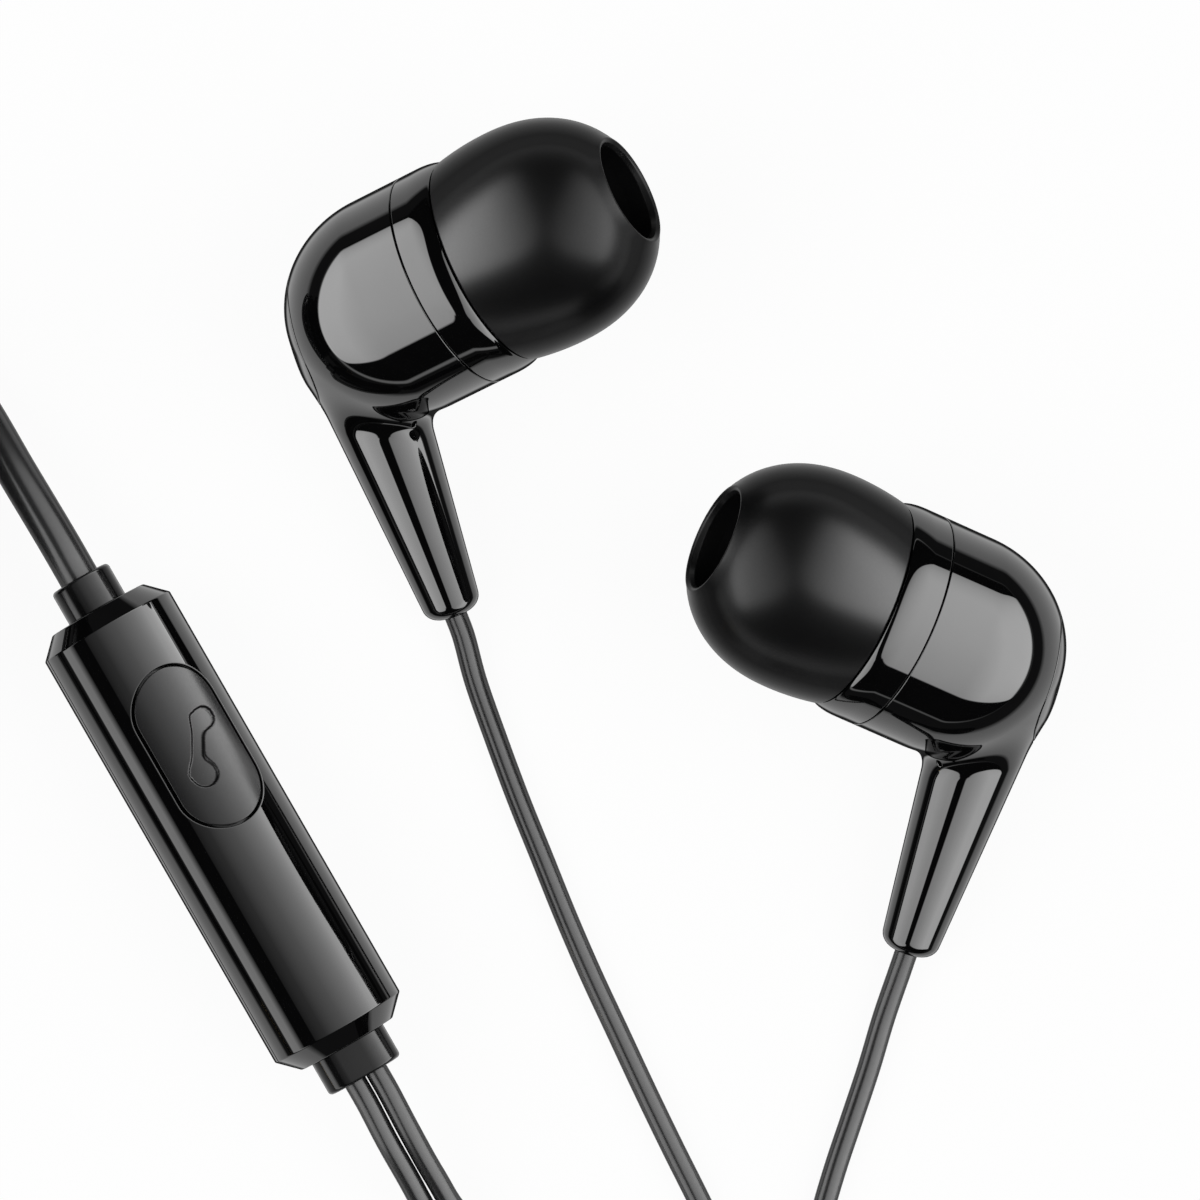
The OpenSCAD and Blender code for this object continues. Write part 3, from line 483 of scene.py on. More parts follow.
# bud: rounded back and stem, melted together
bud = {
    "r": 5.8, "barrel": 5.2, "back": 6.2, "seam": 2.2, "wall": 0.7, "frontWall": 0.9,
    "shoulder": (1.2, 0.35), "lip": 1.4, "lipR": 4.95, "driverRoomR": 4.45, "seamGap": 0.06,
    "rim": 0.05, "melt": 1.3, "capR": 3.6, "capRise": 0.7, "capGap": 0.06, "capWall": 0.5,
    "voxel": 0.2, "snap": 0.06, "coarseEnd": -1.5, "skinEnd": -1.9, "passes": 6,
}
tip = {
    "r": 5.85, "length": 8.6, "widest": 2.8, "flare": 0.28, "power": 2.2, "mouthR": 2.6,
    "lip": 0.4, "nose": 2.3, "skirt": 0.45, "sleeve": 0.7,
}
nozzle = {
    "r": 2.4, "bore": 1.9, "length": 5.4, "barb": 0.2, "meshR": 2.1, "meshX": 5.0,
    "barbAt": (1.1, 1, 0.6, 0.3),  # back from the nozzle's end
}


def backField(p):
    x, y, z = p.T
    tube = np.hypot(y, z) - bud["r"]
    q = np.stack([(x + bud["barrel"]) / bud["back"], y / bud["r"], z / bud["r"]], 1)
    slope = q / np.array([bud["back"], bud["r"], bud["r"]])
    size = np.linalg.norm(q, axis=1)
    dome = size * (size - 1) / np.maximum(np.linalg.norm(slope, axis=1), 1e-6)
    return np.where(x > -bud["barrel"], tube, dome)


toStem = np.array(stemMatrix.inverted())


def stemPlaces(p):
    return p @ toStem[:3, :3].T + toStem[:3, 3]


def stemField(p):
    q = stemPlaces(p)
    taper = (stem["rootR"] - stem["endR"]) / stem["length"]
    up = np.minimum(q[:, 2], stem["top"])
    away = np.sqrt(q[:, 0] ** 2 + q[:, 1] ** 2 + (q[:, 2] - up) ** 2)
    side = (away - (stem["rootR"] + taper * up)) * cos(atan(taper)) + stem["round"]
    end = -stem["length"] - q[:, 2] + stem["round"]
    return cornered(side, end) - stem["round"]


def rearField(p):
    return melted(backField(p), stemField(p), bud["melt"])


# a coarse back and stem, remeshed as one and then settled on the true shape
def rearSkin():
    bm = bmesh.new()
    arc = [(-bud["barrel"] - bud["back"] * cos(a), bud["r"] * sin(a)) for a in np.linspace(0, pi / 2, 16)]
    lathe(bm, roundedOutline([(x, max(r, 0)) for x, r in arc]
                             + [(bud["coarseEnd"], bud["r"]), (bud["coarseEnd"], 0)]), turns=48)
    arm = bmesh.new()
    end, wide = -stem["length"], stem["coarseR"]
    top = [(stem["top"] + wide * sin(a), max(wide * cos(a), 0)) for a in np.linspace(0, pi / 2, 8)]
    lathe(arm, roundedOutline([(end, 0), (end, 1), (end + 0.4, stem["endR"])] + top), turns=32)
    bmesh.ops.transform(arm, matrix=stemMatrix @ spin(-90, "Y"), verts=arm.verts)
    data = bpy.data.meshes.new("coarse")
    arm.to_mesh(data)
    bm.from_mesh(data)
    bm.to_mesh(data)
    coarse = addThing("coarse", data)
    remesh = coarse.modifiers.new("remesh", "REMESH")
    remesh.mode = "VOXEL"
    remesh.voxel_size = bud["voxel"]
    skin = bmesh.new()
    skin.from_mesh(coarse.evaluated_get(bpy.context.evaluated_depsgraph_get()).to_mesh())
    bpy.data.objects.remove(coarse)
    front = [f for f in skin.faces if f.calc_center_median().x > bud["skinEnd"]]
    bmesh.ops.delete(skin, geom=front, context="FACES")
    for _ in range(bud["passes"]):
        bmesh.ops.smooth_vert(skin, verts=skin.verts, factor=0.5,
                              use_axis_x=True, use_axis_y=True, use_axis_z=True)
        movePlaces(skin.verts, settle(placesOf(skin.verts), [rearField], 2))
    movePlaces(skin.verts, settle(placesOf(skin.verts), [rearField], 4))
    faceAlong(skin, rearField)
    return skin


def aroundCap(p):
    return np.hypot(p[:, 1], p[:, 2] - bud["capRise"])


def aroundCord(p):
    q = stemPlaces(p)
    return np.where(q[:, 2] > -stem["length"] + 1, far, np.hypot(q[:, 0], q[:, 1]))


def aroundVent(side):
    way = np.array(spin(side * stem["ventTurn"], "Z") @ Vector((1, 0, 0)))

    def around(p):
        q = stemPlaces(p) - np.array([0, 0, stem["ventZ"]])
        along = q @ way
        return np.where(along < 0, far, np.linalg.norm(q - along[:, None] * way, axis=1))
    return around


def makeRear(name, matrix, skin):
    bm = skin.copy()
    edge = bud["seamGap"] / 2 + bud["rim"]
    cutSkin(bm, lambda p: -bud["seam"] - edge - p[:, 0], rearField, bud["snap"])
    capEdge = bud["capR"] + bud["capGap"] / 2 + bud["rim"]
    cutSkin(bm, lambda p: np.where(p[:, 0] > -bud["barrel"], 1, aroundCap(p) - capEdge),
            rearField, bud["snap"])
    drill(bm, aroundCord, stem["hole"], rearField)
    for side in (-1, 1):
        drill(bm, aroundVent(side), stem["vent"], rearField)
    faceAlong(bm, rearField)
    closeShell(bm, bud["wall"], bud["rim"])
    return makePiece(name, bm, matrix)


def makeCap(name, matrix, skin):
    bm = skin.copy()
    edge = bud["capR"] - bud["capGap"] / 2 - bud["rim"]
    cutSkin(bm, lambda p: np.where(p[:, 0] > -bud["barrel"], -1, edge - aroundCap(p)),
            rearField, bud["snap"])
    faceAlong(bm, rearField)
    closeShell(bm, bud["capWall"], bud["rim"])
    return makePiece(name, bm, matrix)


def makeFront(name, matrix):
    seam = -bud["seam"] + bud["seamGap"] / 2
    back = -bud["seam"] - bud["lip"]
    end, r = nozzle["length"], nozzle["r"]
    barbR = r + nozzle["barb"]
    barb = [(end - at, barbR if k in (1, 2) else r, 0.05) for k, at in enumerate(nozzle["barbAt"])]
    long, deep = bud["shoulder"]
    turns = np.linspace(0, pi / 2, 14)
    shoulder = [(long * (sin(a) - 1), bud["r"] - deep * (1 - cos(a))) for a in turns]
    outline = roundedOutline([
        (back, bud["driverRoomR"], 0.05), (back, bud["lipR"], 0.1), (seam, bud["lipR"], 0.05),
        (seam, bud["r"], bud["rim"])] + shoulder + [(0, r, 0.15)] + barb + [
        (end, r, 0.08), (end, nozzle["meshR"], 0.05),
        (nozzle["meshX"], nozzle["meshR"], 0.02), (nozzle["meshX"], nozzle["bore"], 0.05),
        (-bud["frontWall"], nozzle["bore"], 0.1), (-bud["frontWall"], bud["driverRoomR"], 0.05)], True, 6)
    bm = bmesh.new()
    lathe(bm, outline, True, 192)
    return makePiece(name, bm, matrix)


def tipR(x):
    if x < tip["widest"]:
        return tip["r"] - tip["flare"] * ((tip["widest"] - x) / tip["widest"]) ** 2
    reach = tip["length"] - tip["widest"] + 0.6
    return tip["r"] * (1 - ((x - tip["widest"]) / reach) ** tip["power"]) ** (1 / tip["power"])


def makeTip(name, matrix):
    bore = nozzle["r"] + 0.05
    sleeve = bore + tip["sleeve"]
    end, mouth, lip = tip["length"], tip["mouthR"], tip["lip"]
    web = end - tip["nose"]
    hem, skirt = 0.05, tip["skirt"]
    outer = [(x, tipR(x)) for x in np.linspace(0.3, end - lip / 2, 48)]
    inner = [(x, tipR(x) - skirt) for x in np.linspace(web, 0.3, 30)]
    barbStart, barbEnd = nozzle["length"] - nozzle["barbAt"][0], nozzle["length"] - nozzle["barbAt"][3]
    outline = roundedOutline(
        [(hem, tipR(hem) - skirt, 0.2), (hem, tipR(hem), 0.2)] + outer
        + [(end, mouth + 0.7 * lip, 0.12), (end - 0.3 * lip, mouth + 0.25 * lip, 0.15),
           (end - lip, mouth, 0.2), (end - 1.3, mouth - 0.02, 0.3), (nozzle["length"] + 0.3, bore, 0.3),
           (barbEnd + 0.05, bore, 0.05), (barbEnd - 0.1, bore + nozzle["barb"], 0.05),
           (barbStart - 0.05, bore + nozzle["barb"], 0.05), (barbStart - 0.1, bore, 0.05),
           (0.35, bore, 0.1), (0.35, sleeve, 0.2), (web - 0.5, sleeve, 0.4), (web, sleeve + 0.6, 0.4)]
        + inner, True, 5)
    bm = bmesh.new()
    lathe(bm, outline, True, 160)
    return makePiece(name, bm, matrix, "tip_silicone")


skin = rearSkin()
print("bud skin:", len(skin.faces), "faces")
gloss, rubber, tips = [], [], []
for side, place in (("left", leftBud), ("right", rightBud)):
    matrix = budMatrix(place)
    gloss.append(makeRear(side + "RearShell", matrix, skin))
    gloss.append(makeCap(side + "BackCap", matrix, skin))
    gloss.append(makeFront(side + "FrontShell", matrix))
    tips.append(makeTip(side + "EarTip", matrix))
skin.free()
print("buds made")


# remote: two shells along a seam, a flush button with a handset sign, and a collar at each end
button = {
    "shift": -4.2, "length": 8.8, "width": 4.5, "gap": 0.12, "wall": 0.6, "signDepth": 0.2,
    "signTurn": 60.1, "signBulb": (0.58, 0.66), "signBulbAt": (0.25, 1.47),
    "signBar": (-0.12, 0.3, 1.5), "signMelt": 0.55, "signWall": 0.16, "grid": 0.06,
    "flange": 0.4, "flangeDeep": 0.8, "flangeWall": 0.3, "flangeRim": 0.04, "flangeGrid": 0.15,
}
collar = {
    "r": 1.65, "neckR": 1.35, "neck": 1.4, "width": 4.2, "height": 3, "edge": 0.22,
    "apart": 0.02,        # from the shell's end
    "slack": 0.04,        # round a cord
    "flare": 0.12, "flareDeep": 0.25, "squeeze": 0.93,
}


def remoteOutline():
    r, half, bevel, edge = remote["r"], remote["half"], remote["bevel"], remote["edge"]
    fine = [(x, r) for x in np.arange(-half + bevel + 1, half - bevel - 0.9, 0.3)]
    return roundedOutline(
        [(-half, remote["endHole"]), (-half, r - bevel, edge), (-half + bevel, r, edge)] + fine
        + [(half - bevel, r, edge), (half, r - bevel, edge), (half, remote["endHole"])])


def tubeField(p):
    return np.hypot(p[:, 1], p[:, 2]) - remote["r"]


def stadiumField(p, grow=0.0):
    half = (button["length"] - button["width"]) / 2
    along = np.maximum(np.abs(p[:, 0] - button["shift"]) - half, 0)
    outside = np.hypot(along, p[:, 1]) - button["width"] / 2 - grow
    return np.where(p[:, 2] > 0, outside, far)


def aroundMic(p):
    return np.where(p[:, 2] > 0, far, np.hypot(p[:, 0] - remote["micX"], p[:, 1]))


def seamSector(front):
    spare = (remote["seamGap"] / 2 + remote["rim"]) / remote["r"]
    return (spare, pi - spare) if front else (pi + spare, 2 * pi - spare)


def makeRemoteShell(name, front):
    bm = bmesh.new()
    lathe(bm, remoteOutline(), turns=110, sector=seamSector(front))
    if front:
        edge = button["gap"] + remote["rim"]
        cutSkin(bm, lambda p: stadiumField(p, edge), tubeField, 0.03)
    else:
        drill(bm, aroundMic, remote["mic"], tubeField)
    closeShell(bm, remote["wall"], remote["rim"])
    return makePiece(name, bm, turnedRemote)


def signField(u, v):
    bulbs = [np.hypot(u - button["signBulbAt"][0], v - side * button["signBulbAt"][1]) - r
             for side, r in ((1, button["signBulb"][0]), (-1, button["signBulb"][1]))]
    middle, halfWidth, halfHeight = button["signBar"]
    du, dv = np.abs(u - middle) - halfWidth, np.abs(v) - halfHeight
    return melted(np.minimum(*bulbs), cornered(du, dv), button["signMelt"])


def sunken(p):
    a = radians(button["signTurn"])
    x, y = p[:, 0] - button["shift"], p[:, 1]
    sign = signField(x * cos(a) + y * sin(a), -x * sin(a) + y * cos(a))
    part = np.clip(0.5 - sign / button["signWall"], 0, 1)
    return button["signDepth"] * part * part * (3 - 2 * part)


def buttonField(p):
    return np.hypot(p[:, 1], p[:, 2]) - remote["r"] + sunken(p)


# a sheet bent to radius r, with the button's outline grown by so much
def buttonSheet(r, grow, step):
    bm = bmesh.new()
    facingLayer(bm)
    long, wide = button["length"] / 2 + grow, button["width"] / 2 + grow
    xs = np.arange(-long - step, long + 2 * step, step) + button["shift"]
    ys = np.arange(-wide - step, wide + 2 * step, step)
    rows = [[bm.verts.new((x, y, max(r ** 2 - y ** 2, 0) ** 0.5)) for y in ys] for x in xs]
    for low, high in zip(rows, rows[1:]):
        for k in range(len(ys) - 1):
            bm.faces.new((low[k], high[k], high[k + 1], low[k + 1]))

    def sheetField(p):
        return np.hypot(p[:, 1], p[:, 2]) - r
    cutSkin(bm, lambda p: -stadiumField(p, grow), sheetField, step / 4)
    faceAlong(bm, sheetField)
    return bm


def makeButton():
    bm = buttonSheet(remote["r"], -remote["rim"], button["grid"])
    verts = list(bm.verts)
    p = placesOf(verts)
    wide = np.hypot(p[:, 1], p[:, 2])
    p[:, 1:] *= ((remote["r"] - sunken(p)) / wide)[:, None]
    movePlaces(verts, p)
    faceAlong(bm, buttonField)
    closeShell(bm, button["wall"], remote["rim"])
    flange = buttonSheet(remote["r"] - button["flangeDeep"], button["flange"], button["flangeGrid"])
    closeShell(flange, button["flangeWall"], button["flangeRim"])
    data = bpy.data.meshes.new("flange")
    flange.to_mesh(data)
    bm.from_mesh(data)
    return makePiece("callButton", bm, turnedRemote, "button_plastic", "button")


def makeMainCollar():
    r, neckR, bore = collar["r"], collar["neckR"], cord["thick"] / 2 + collar["slack"]
    start, end, neck = remote["half"] + collar["apart"], outX, remote["half"] - collar["neck"]
    bm = bmesh.new()
    lathe(bm, roundedOutline([
        (-end, bore, 0.1), (-end, r, collar["edge"]), (-start, r, 0.05),
        (-start, neckR, 0.05), (-neck, neckR, 0.05), (-neck, bore, 0.05)], True), True, 96)
    return makePiece("mainCollar", bm, levelRemote, "collar_rubber")


def ovalLoop(width, height, count=96):
    straight = (width - height) / 2
    loop = []
    for k in range(count):
        a = 2 * pi * (k + 0.5) / count
        y = height / 2 * cos(a) + (straight if cos(a) > 0 else -straight)
        loop.append((y, height / 2 * sin(a), cos(a), sin(a)))
    return loop


# an oval collar with one round way for each branch cord
def makeBranchCollar():
    bm = bmesh.new()
    layer = facingLayer(bm)
    start, end, half = remote["half"] + collar["apart"], outX, collar["height"] / 2
    outline = roundedOutline([
        (start, half - 0.6), (start, half, 0.05), (end, half, collar["edge"]), (end, half - 0.5)])
    rings = []
    for x, r, nx, nr in outline:
        ring = []
        for y, z, ny, nz in ovalLoop(collar["width"] - 2 * half + 2 * r, 2 * r):
            v = bm.verts.new((x, y, z))
            v[layer] = (nx, nr * ny, nr * nz)
            ring.append(v)
        rings.append(ring)
    bridge(bm, rings)
    bore = cord["thin"] / 2 + collar["slack"]
    mouth = (end, bore + collar["flare"], collar["squeeze"], 0.7)
    wayRings = []
    for side in (-1, 1):
        way = []
        for x, r, squeeze, lean in (mouth, (end - collar["flareDeep"], bore, 1, 0), (start, bore, 1, 0)):
            row = []
            for a in (2 * pi * k / 32 for k in range(32)):
                v = bm.verts.new((x, side * remote["apart"] / 2 + r * cos(a) * squeeze, r * sin(a)))
                v[layer] = (lean, -cos(a), -sin(a))
                row.append(v)
            way.append(row)
        bridge(bm, way)
        wayRings.append(way)
    for ring, index in ((rings[-1], 0), (rings[0], 2)):
        edges = []
        for loop in (ring, wayRings[0][index], wayRings[1][index]):
            edges += [bm.edges.get((loop[k], loop[(k + 1) % len(loop)])) for k in range(len(loop))]
        filled = bmesh.ops.triangle_fill(bm, use_beauty=True, edges=edges)
        out = Vector((1 if index == 0 else -1, 0, 0))
        for face in only(filled["geom"], bmesh.types.BMFace):
            if face.normal.dot(out) < 0:
                face.normal_flip()
    return makePiece("branchCollar", bm, levelRemote, "collar_rubber")


gloss.append(makeRemoteShell("remoteFrontShell", True))
gloss.append(makeRemoteShell("remoteBackShell", False))
callButton = makeButton()
rubber.append(makeMainCollar())
rubber.append(makeBranchCollar())
print("remote made")


# plug: four contacts, their insulator, a grip and a ribbed strain relief
plug = {
    "pinR": 1.75, "pinLength": 14, "tipLength": 3.5, "ring": 2.4, "band": 0.6, "coreR": 1.2, "rodR": 0.5,
    "flange": 0.5, "flangeDeep": 0.8, "rodBack": 2, "fit": 0.02, "slack": 0.03, "wireR": 0.2,
    "gripR": 3, "gripEndR": 2.5, "grooves": 6, "groovesX": -3.4, "grooveStep": 0.9, "groove": 0.14,
    "relief": 7, "reliefR": 2.2, "reliefEndR": 1.5, "ribs": 7, "ribsX": 0.75, "ribStep": 0.85, "rib": 0.28,
}
plugMatrix = Matrix.Translation(Vector(plugAt) * mm) @ spin(-90, "Z")


def plugPiece(name, slot, corners, closed=True):
    bm = bmesh.new()
    lathe(bm, roundedOutline(corners, closed, 5), closed, 96)
    return makePiece(name, bm, plugMatrix, slot)


def groove(start, end, r, deep):
    return [(start, r, 0.08), (start + 0.1, r - deep, 0.08), (end - 0.1, r - deep, 0.08), (end, r, 0.08)]


def makeContacts():
    pin, core, rod, band, ring = plug["pinR"], plug["coreR"], plug["rodR"], plug["band"], plug["ring"]
    fit, flange, back = plug["fit"], plug["pinR"] + plug["flange"], -plug["flangeDeep"]
    end = plug["pinLength"]
    tipBase = end - plug["tipLength"]
    upper = tipBase - band - ring
    lower = upper - band - ring
    sleeveEnd = lower - band
    pieces = [plugPiece("plugTip", "contact_gold", [
        (-plug["rodBack"], 0), (-plug["rodBack"], rod, 0.05), (tipBase, rod, 0.02), (tipBase, pin, 0.06),
        (tipBase + 0.5, pin, 0.2), (tipBase + 1.1, pin - 0.5, 0.3), (tipBase + 1.35, pin - 0.5, 0.3),
        (tipBase + 2.1, pin - 0.08, 0.6), (tipBase + 2.5, pin - 0.3, 0.5), (end, 0.55, 0.35),
        (end, 0)], False)]
    for name, low in (("plugRingUpper", upper), ("plugRingLower", lower)):
        pieces.append(plugPiece(name, "contact_gold", [
            (low, core, 0.02), (low, pin, 0.06), (low + ring, pin, 0.06), (low + ring, core, 0.02)]))
    pieces.append(plugPiece("plugSleeve", "contact_gold", [
        (back, core, 0.02), (back, flange, 0.08), (0.03, flange, 0.08), (0.03, pin, 0.05),
        (sleeveEnd, pin, 0.06), (sleeveEnd, core, 0.02)]))
    bands = [(back, rod + fit / 2, 0.02), (back, core - fit / 2, 0.05)]
    for low in (sleeveEnd, lower + ring, upper + ring):
        near, away = low + fit / 2, low + band - fit / 2
        bands += [(near, core - fit / 2, 0.02), (near, pin - fit, 0.03), (away, pin - fit, 0.03),
                  (away, core - fit / 2, 0.02)]
    bands[-1] = (tipBase - fit / 2, rod + fit / 2, 0.02)
    return pieces + [plugPiece("plugInsulator", "frame_plastic", bands)]


def makeGrip():
    grip, rod, wire, back = plug["gripR"], plug["rodR"] + plug["fit"], plug["wireR"], -gripLength
    flange, bore = plug["pinR"] + plug["flange"] + plug["fit"], cord["thick"] / 2 + plug["slack"]
    flangeX, rodX = -plug["flangeDeep"] - 2 * plug["fit"], -plug["rodBack"] - 0.05
    grooves = []
    for k in reversed(range(plug["grooves"])):
        x = plug["groovesX"] - plug["grooveStep"] * k
        grooves += groove(x - 0.32, x + 0.32, grip, plug["groove"])
    return plugPiece("plugGrip", "grip_plastic", [
        (back, bore, 0.05), (back, plug["gripEndR"], 0.3), (back * 0.6, grip, 3)] + grooves
        + [(0, grip, 0.8), (0, flange, 0.1), (flangeX, flange, 0.03), (flangeX, rod, 0.02),
           (rodX, rod, 0.02), (rodX, wire, 0.02), (back + 2, wire, 0.02), (back + 2, bore, 0.02)])


def makeRelief():
    start, bore = -gripLength, cord["thick"] / 2 + plug["slack"]
    end = start - plug["relief"]
    ribs = []
    for k in reversed(range(plug["ribs"])):
        x = start - plug["ribsX"] - plug["ribStep"] * k
        r = plug["reliefR"] + (plug["reliefEndR"] - plug["reliefR"]) * (start - x) / plug["relief"]
        ribs += groove(x - 0.3, x + 0.24, r, plug["rib"])
    return plugPiece("plugRelief", "collar_rubber", [
        (end, bore, 0.1), (end, plug["reliefEndR"], 0.25)] + ribs
        + [(start - plug["fit"], plug["reliefR"], 0.08), (start - plug["fit"], bore, 0.02)])


plugPieces = makeContacts() + [makeGrip(), makeRelief()]
print("plug made")
for name, route in cords.items():
    route["d"] * mm
    plugPieces if route["farEnd"] == "plug" else []


# shader maths: a socket that takes part in Python expressions
class Value:
    def __init__(self, finish, socket):
        self.finish, self.socket = finish, socket

    def maths(self, operation, other, swapped=False):
        first, second = (other, self) if swapped else (self, other)
        return self.finish.add("ShaderNodeMath", {"operation": operation}, {0: first, 1: second})

    def __add__(self, other):
        return self.maths("ADD", other)

    def __radd__(self, other):
        return self.maths("ADD", other, True)

    def __sub__(self, other):
        return self.maths("SUBTRACT", other)

    def __rsub__(self, other):
        return self.maths("SUBTRACT", other, True)

    def __mul__(self, other):
        return self.maths("MULTIPLY", other)

    def __rmul__(self, other):
        return self.maths("MULTIPLY", other, True)

    def largest(self, other):
        return self.maths("MAXIMUM", other)


# a material, the world's or a lamp's nodes
class Finish:
    def __init__(self, owner):
        owner.use_nodes = True
        self.owner, self.tree = owner, owner.node_tree
        self.tree.nodes.clear()

    def add(self, kind, settings=None, sockets=None, out=0):
        node = self.tree.nodes.new(kind)
        for name, value in (settings or {}).items():
            if name == "stops":
                elements = node.color_ramp.elements
                while len(elements) < len(value):
                    elements.new(1)
                for element, (place, tone) in zip(elements, value):
                    element.position = place
                    element.color = (tone, tone, tone, 1)
            else:
                setattr(node, name, value)
        for name, value in (sockets or {}).items():
            if isinstance(value, Value):
                self.tree.links.new(value.socket, node.inputs[name])
            else:
                node.inputs[name].default_value = value
        return Value(self, node.outputs[out]) if len(node.outputs) else self.owner

    def place(self, stretch=(1, 1, 1)):
        place = self.add("ShaderNodeTexCoord", out="Object")
        return self.add("ShaderNodeVectorMath", {"operation": "MULTIPLY"}, {0: place, 1: stretch})

    def noise(self, place, scale, detail=3, roughness=0.55):
        return self.add("ShaderNodeTexNoise", {}, {
            "Vector": place, "Scale": scale, "Detail": detail, "Roughness": roughness})

    def ramp(self, value, *stops):
        return self.add("ShaderNodeValToRGB", {"stops": stops}, {"Fac": value})

    def tones(self, low, high, mask):
        return self.add("ShaderNodeMix", {"data_type": "RGBA"}, {0: mask, 6: (*low, 1), 7: (*high, 1)}, 2)

    def bump(self, height, depth):
        return self.add("ShaderNodeBump", {}, {"Height": height, "Distance": depth * mm, "Strength": 1})

    def surface(self, sockets):
        shader = self.add("ShaderNodeBsdfPrincipled", {}, sockets)
        return self.add("ShaderNodeOutputMaterial", {}, {"Surface": shader})


def newFinish(name):
    return Finish(bpy.data.materials.new(name))


# finishes; grain sizes are in mm, tones are linear. Falloff says how glossy a surface is from
# face on (0) to edge on (1)
shellLook = {
    "low": (0.0012, 0.0012, 0.0013), "high": (0.0026, 0.0026, 0.0028), "cloud": 1.1, "grain": 3,
    "smear": 0.08, "coatRough": 0.025, "coatIor": 1.8, "bump": 0.0003,
    "falloff": ((0, 1), (0.29, 1), (0.3, 0.03), (0.39, 0.03), (0.43, 0.75), (0.75, 1), (0.81, 0.03))}
tipLook = {
    "low": (0.0022, 0.0022, 0.0024), "high": (0.0048, 0.0048, 0.0051), "cloud": 3, "grain": 0.12,
    "smear": 0.16, "coatRough": 0.3, "coatIor": 1.52, "bump": 0.004,
    "falloff": ((0, 1), (0.24, 1), (0.36, 0.3), (0.48, 0.18), (0.65, 0.35), (0.85, 0.6), (0.94, 0.6),
                (0.98, 0))}
buttonLook = {
    "low": (0.0025, 0.0025, 0.0027), "high": (0.005, 0.005, 0.0053), "cloud": 2, "grain": 0.2,
    "smear": 0.12, "coatRough": 0.24, "coatIor": 1.7, "bump": 0.002,
    "falloff": ((0, 1), (0.34, 1), (0.5, 0.5), (0.9, 0.3), (0.97, 0))}
collarLook = {
    "low": (0.003, 0.003, 0.0031), "high": (0.006, 0.006, 0.0063), "cloud": 2, "grain": 0.2,
    "smear": 0.12, "coatRough": 0.12, "coatIor": 1.6, "bump": 0.003,
    "falloff": ((0, 1), (0.29, 1), (0.33, 0.2), (0.4, 0.3), (0.8, 0.9), (0.9, 0))}
jacketLook = {
    "low": (0.008, 0.008, 0.0083), "high": (0.014, 0.014, 0.0144), "cloud": 8, "grain": 0.3,
    "smear": 0.14, "coatRough": 0.25, "coatIor": 1.6, "bump": 0.006,
    "falloff": ((0, 1), (0.45, 1), (0.52, 0.4), (0.65, 0.45), (0.8, 0.6), (0.9, 0))}
gripLook = {"low": (0.012, 0.012, 0.0125), "high": (0.02, 0.02, 0.0205), "grain": 0.16}
frameLook = {"low": (0.02, 0.02, 0.02), "high": (0.035, 0.035, 0.035), "grain": 0.25}
ivoryLook = {"low": (0.62, 0.59, 0.48), "high": (0.74, 0.71, 0.60), "grain": 0.3}


# black plastic, silicone and rubber: nearly all of what they show is what they reflect
def coated(name, look):
    f = newFinish(name)
    place = f.place()
    grain = f.noise(place, 1000 / look["grain"], 3)
    cloud = f.noise(place, 1000 / look["cloud"], 3)
    facing = f.add("ShaderNodeLayerWeight", {}, {"Blend": 0.5}, "Facing")
    gloss = f.ramp(facing, *look["falloff"]) * (1 - look["smear"] * grain)
    return f.surface({
        "Base Color": f.tones(look["low"], look["high"], cloud), "Roughness": 0.35 + 0.2 * grain,
        "Specular IOR Level": 0, "Coat Weight": gloss, "Coat Roughness": look["coatRough"],
        "Coat IOR": look["coatIor"], "Normal": f.bump(grain, look["bump"])})


def satin(name, look, rough, spread, depth):
    f = newFinish(name)
    place = f.place()
    grain = f.noise(place, 1000 / look["grain"], 2)
    cloud = f.noise(place, 350, 3)
    return f.surface({
        "Base Color": f.tones(look["low"], look["high"], cloud),
        "Roughness": rough - spread / 2 + spread * grain, "Normal": f.bump(grain, depth)})


def metal(name, low, high, rough, spread, grain, depth, stretch=(1, 1, 1)):
    f = newFinish(name)
    lines = f.noise(f.place(stretch), 1000 / grain, 3, 0.7)
    cloud = f.noise(f.place(), 500, 3)
    return f.surface({
        "Base Color": f.tones(low, high, cloud), "Metallic": 0.96 + 0.04 * cloud,
        "Roughness": rough + spread * lines, "Normal": f.bump(lines, depth)})


def windings():
    f = newFinish("windings")
    turns = f.add("ShaderNodeTexWave", {"bands_direction": "Z"}, {
        "Vector": f.place(), "Scale": 6000, "Distortion": 0.4}, "Fac")
    cloud = f.noise(f.place(), 700, 3)
    return f.surface({
        "Base Color": f.tones((0.42, 0.17, 0.08), (0.78, 0.42, 0.24), turns), "Metallic": 0.85,
        "Roughness": 0.22 + 0.15 * cloud, "Coat Weight": 0.6 * cloud, "Coat Roughness": 0.1,
        "Normal": f.bump(turns, 0.02)})


def film():
    f = newFinish("film")
    ripple = f.noise(f.place(), 900, 2)
    cloud = f.noise(f.place(), 250, 2)
    return f.surface({
        "Base Color": f.tones((0.62, 0.55, 0.40), (0.78, 0.74, 0.62), cloud),
        "Roughness": 0.18 + 0.14 * ripple, "Coat Weight": 0.3 * cloud, "Coat Roughness": 0.05,
        "Normal": f.bump(ripple, 0.02)})


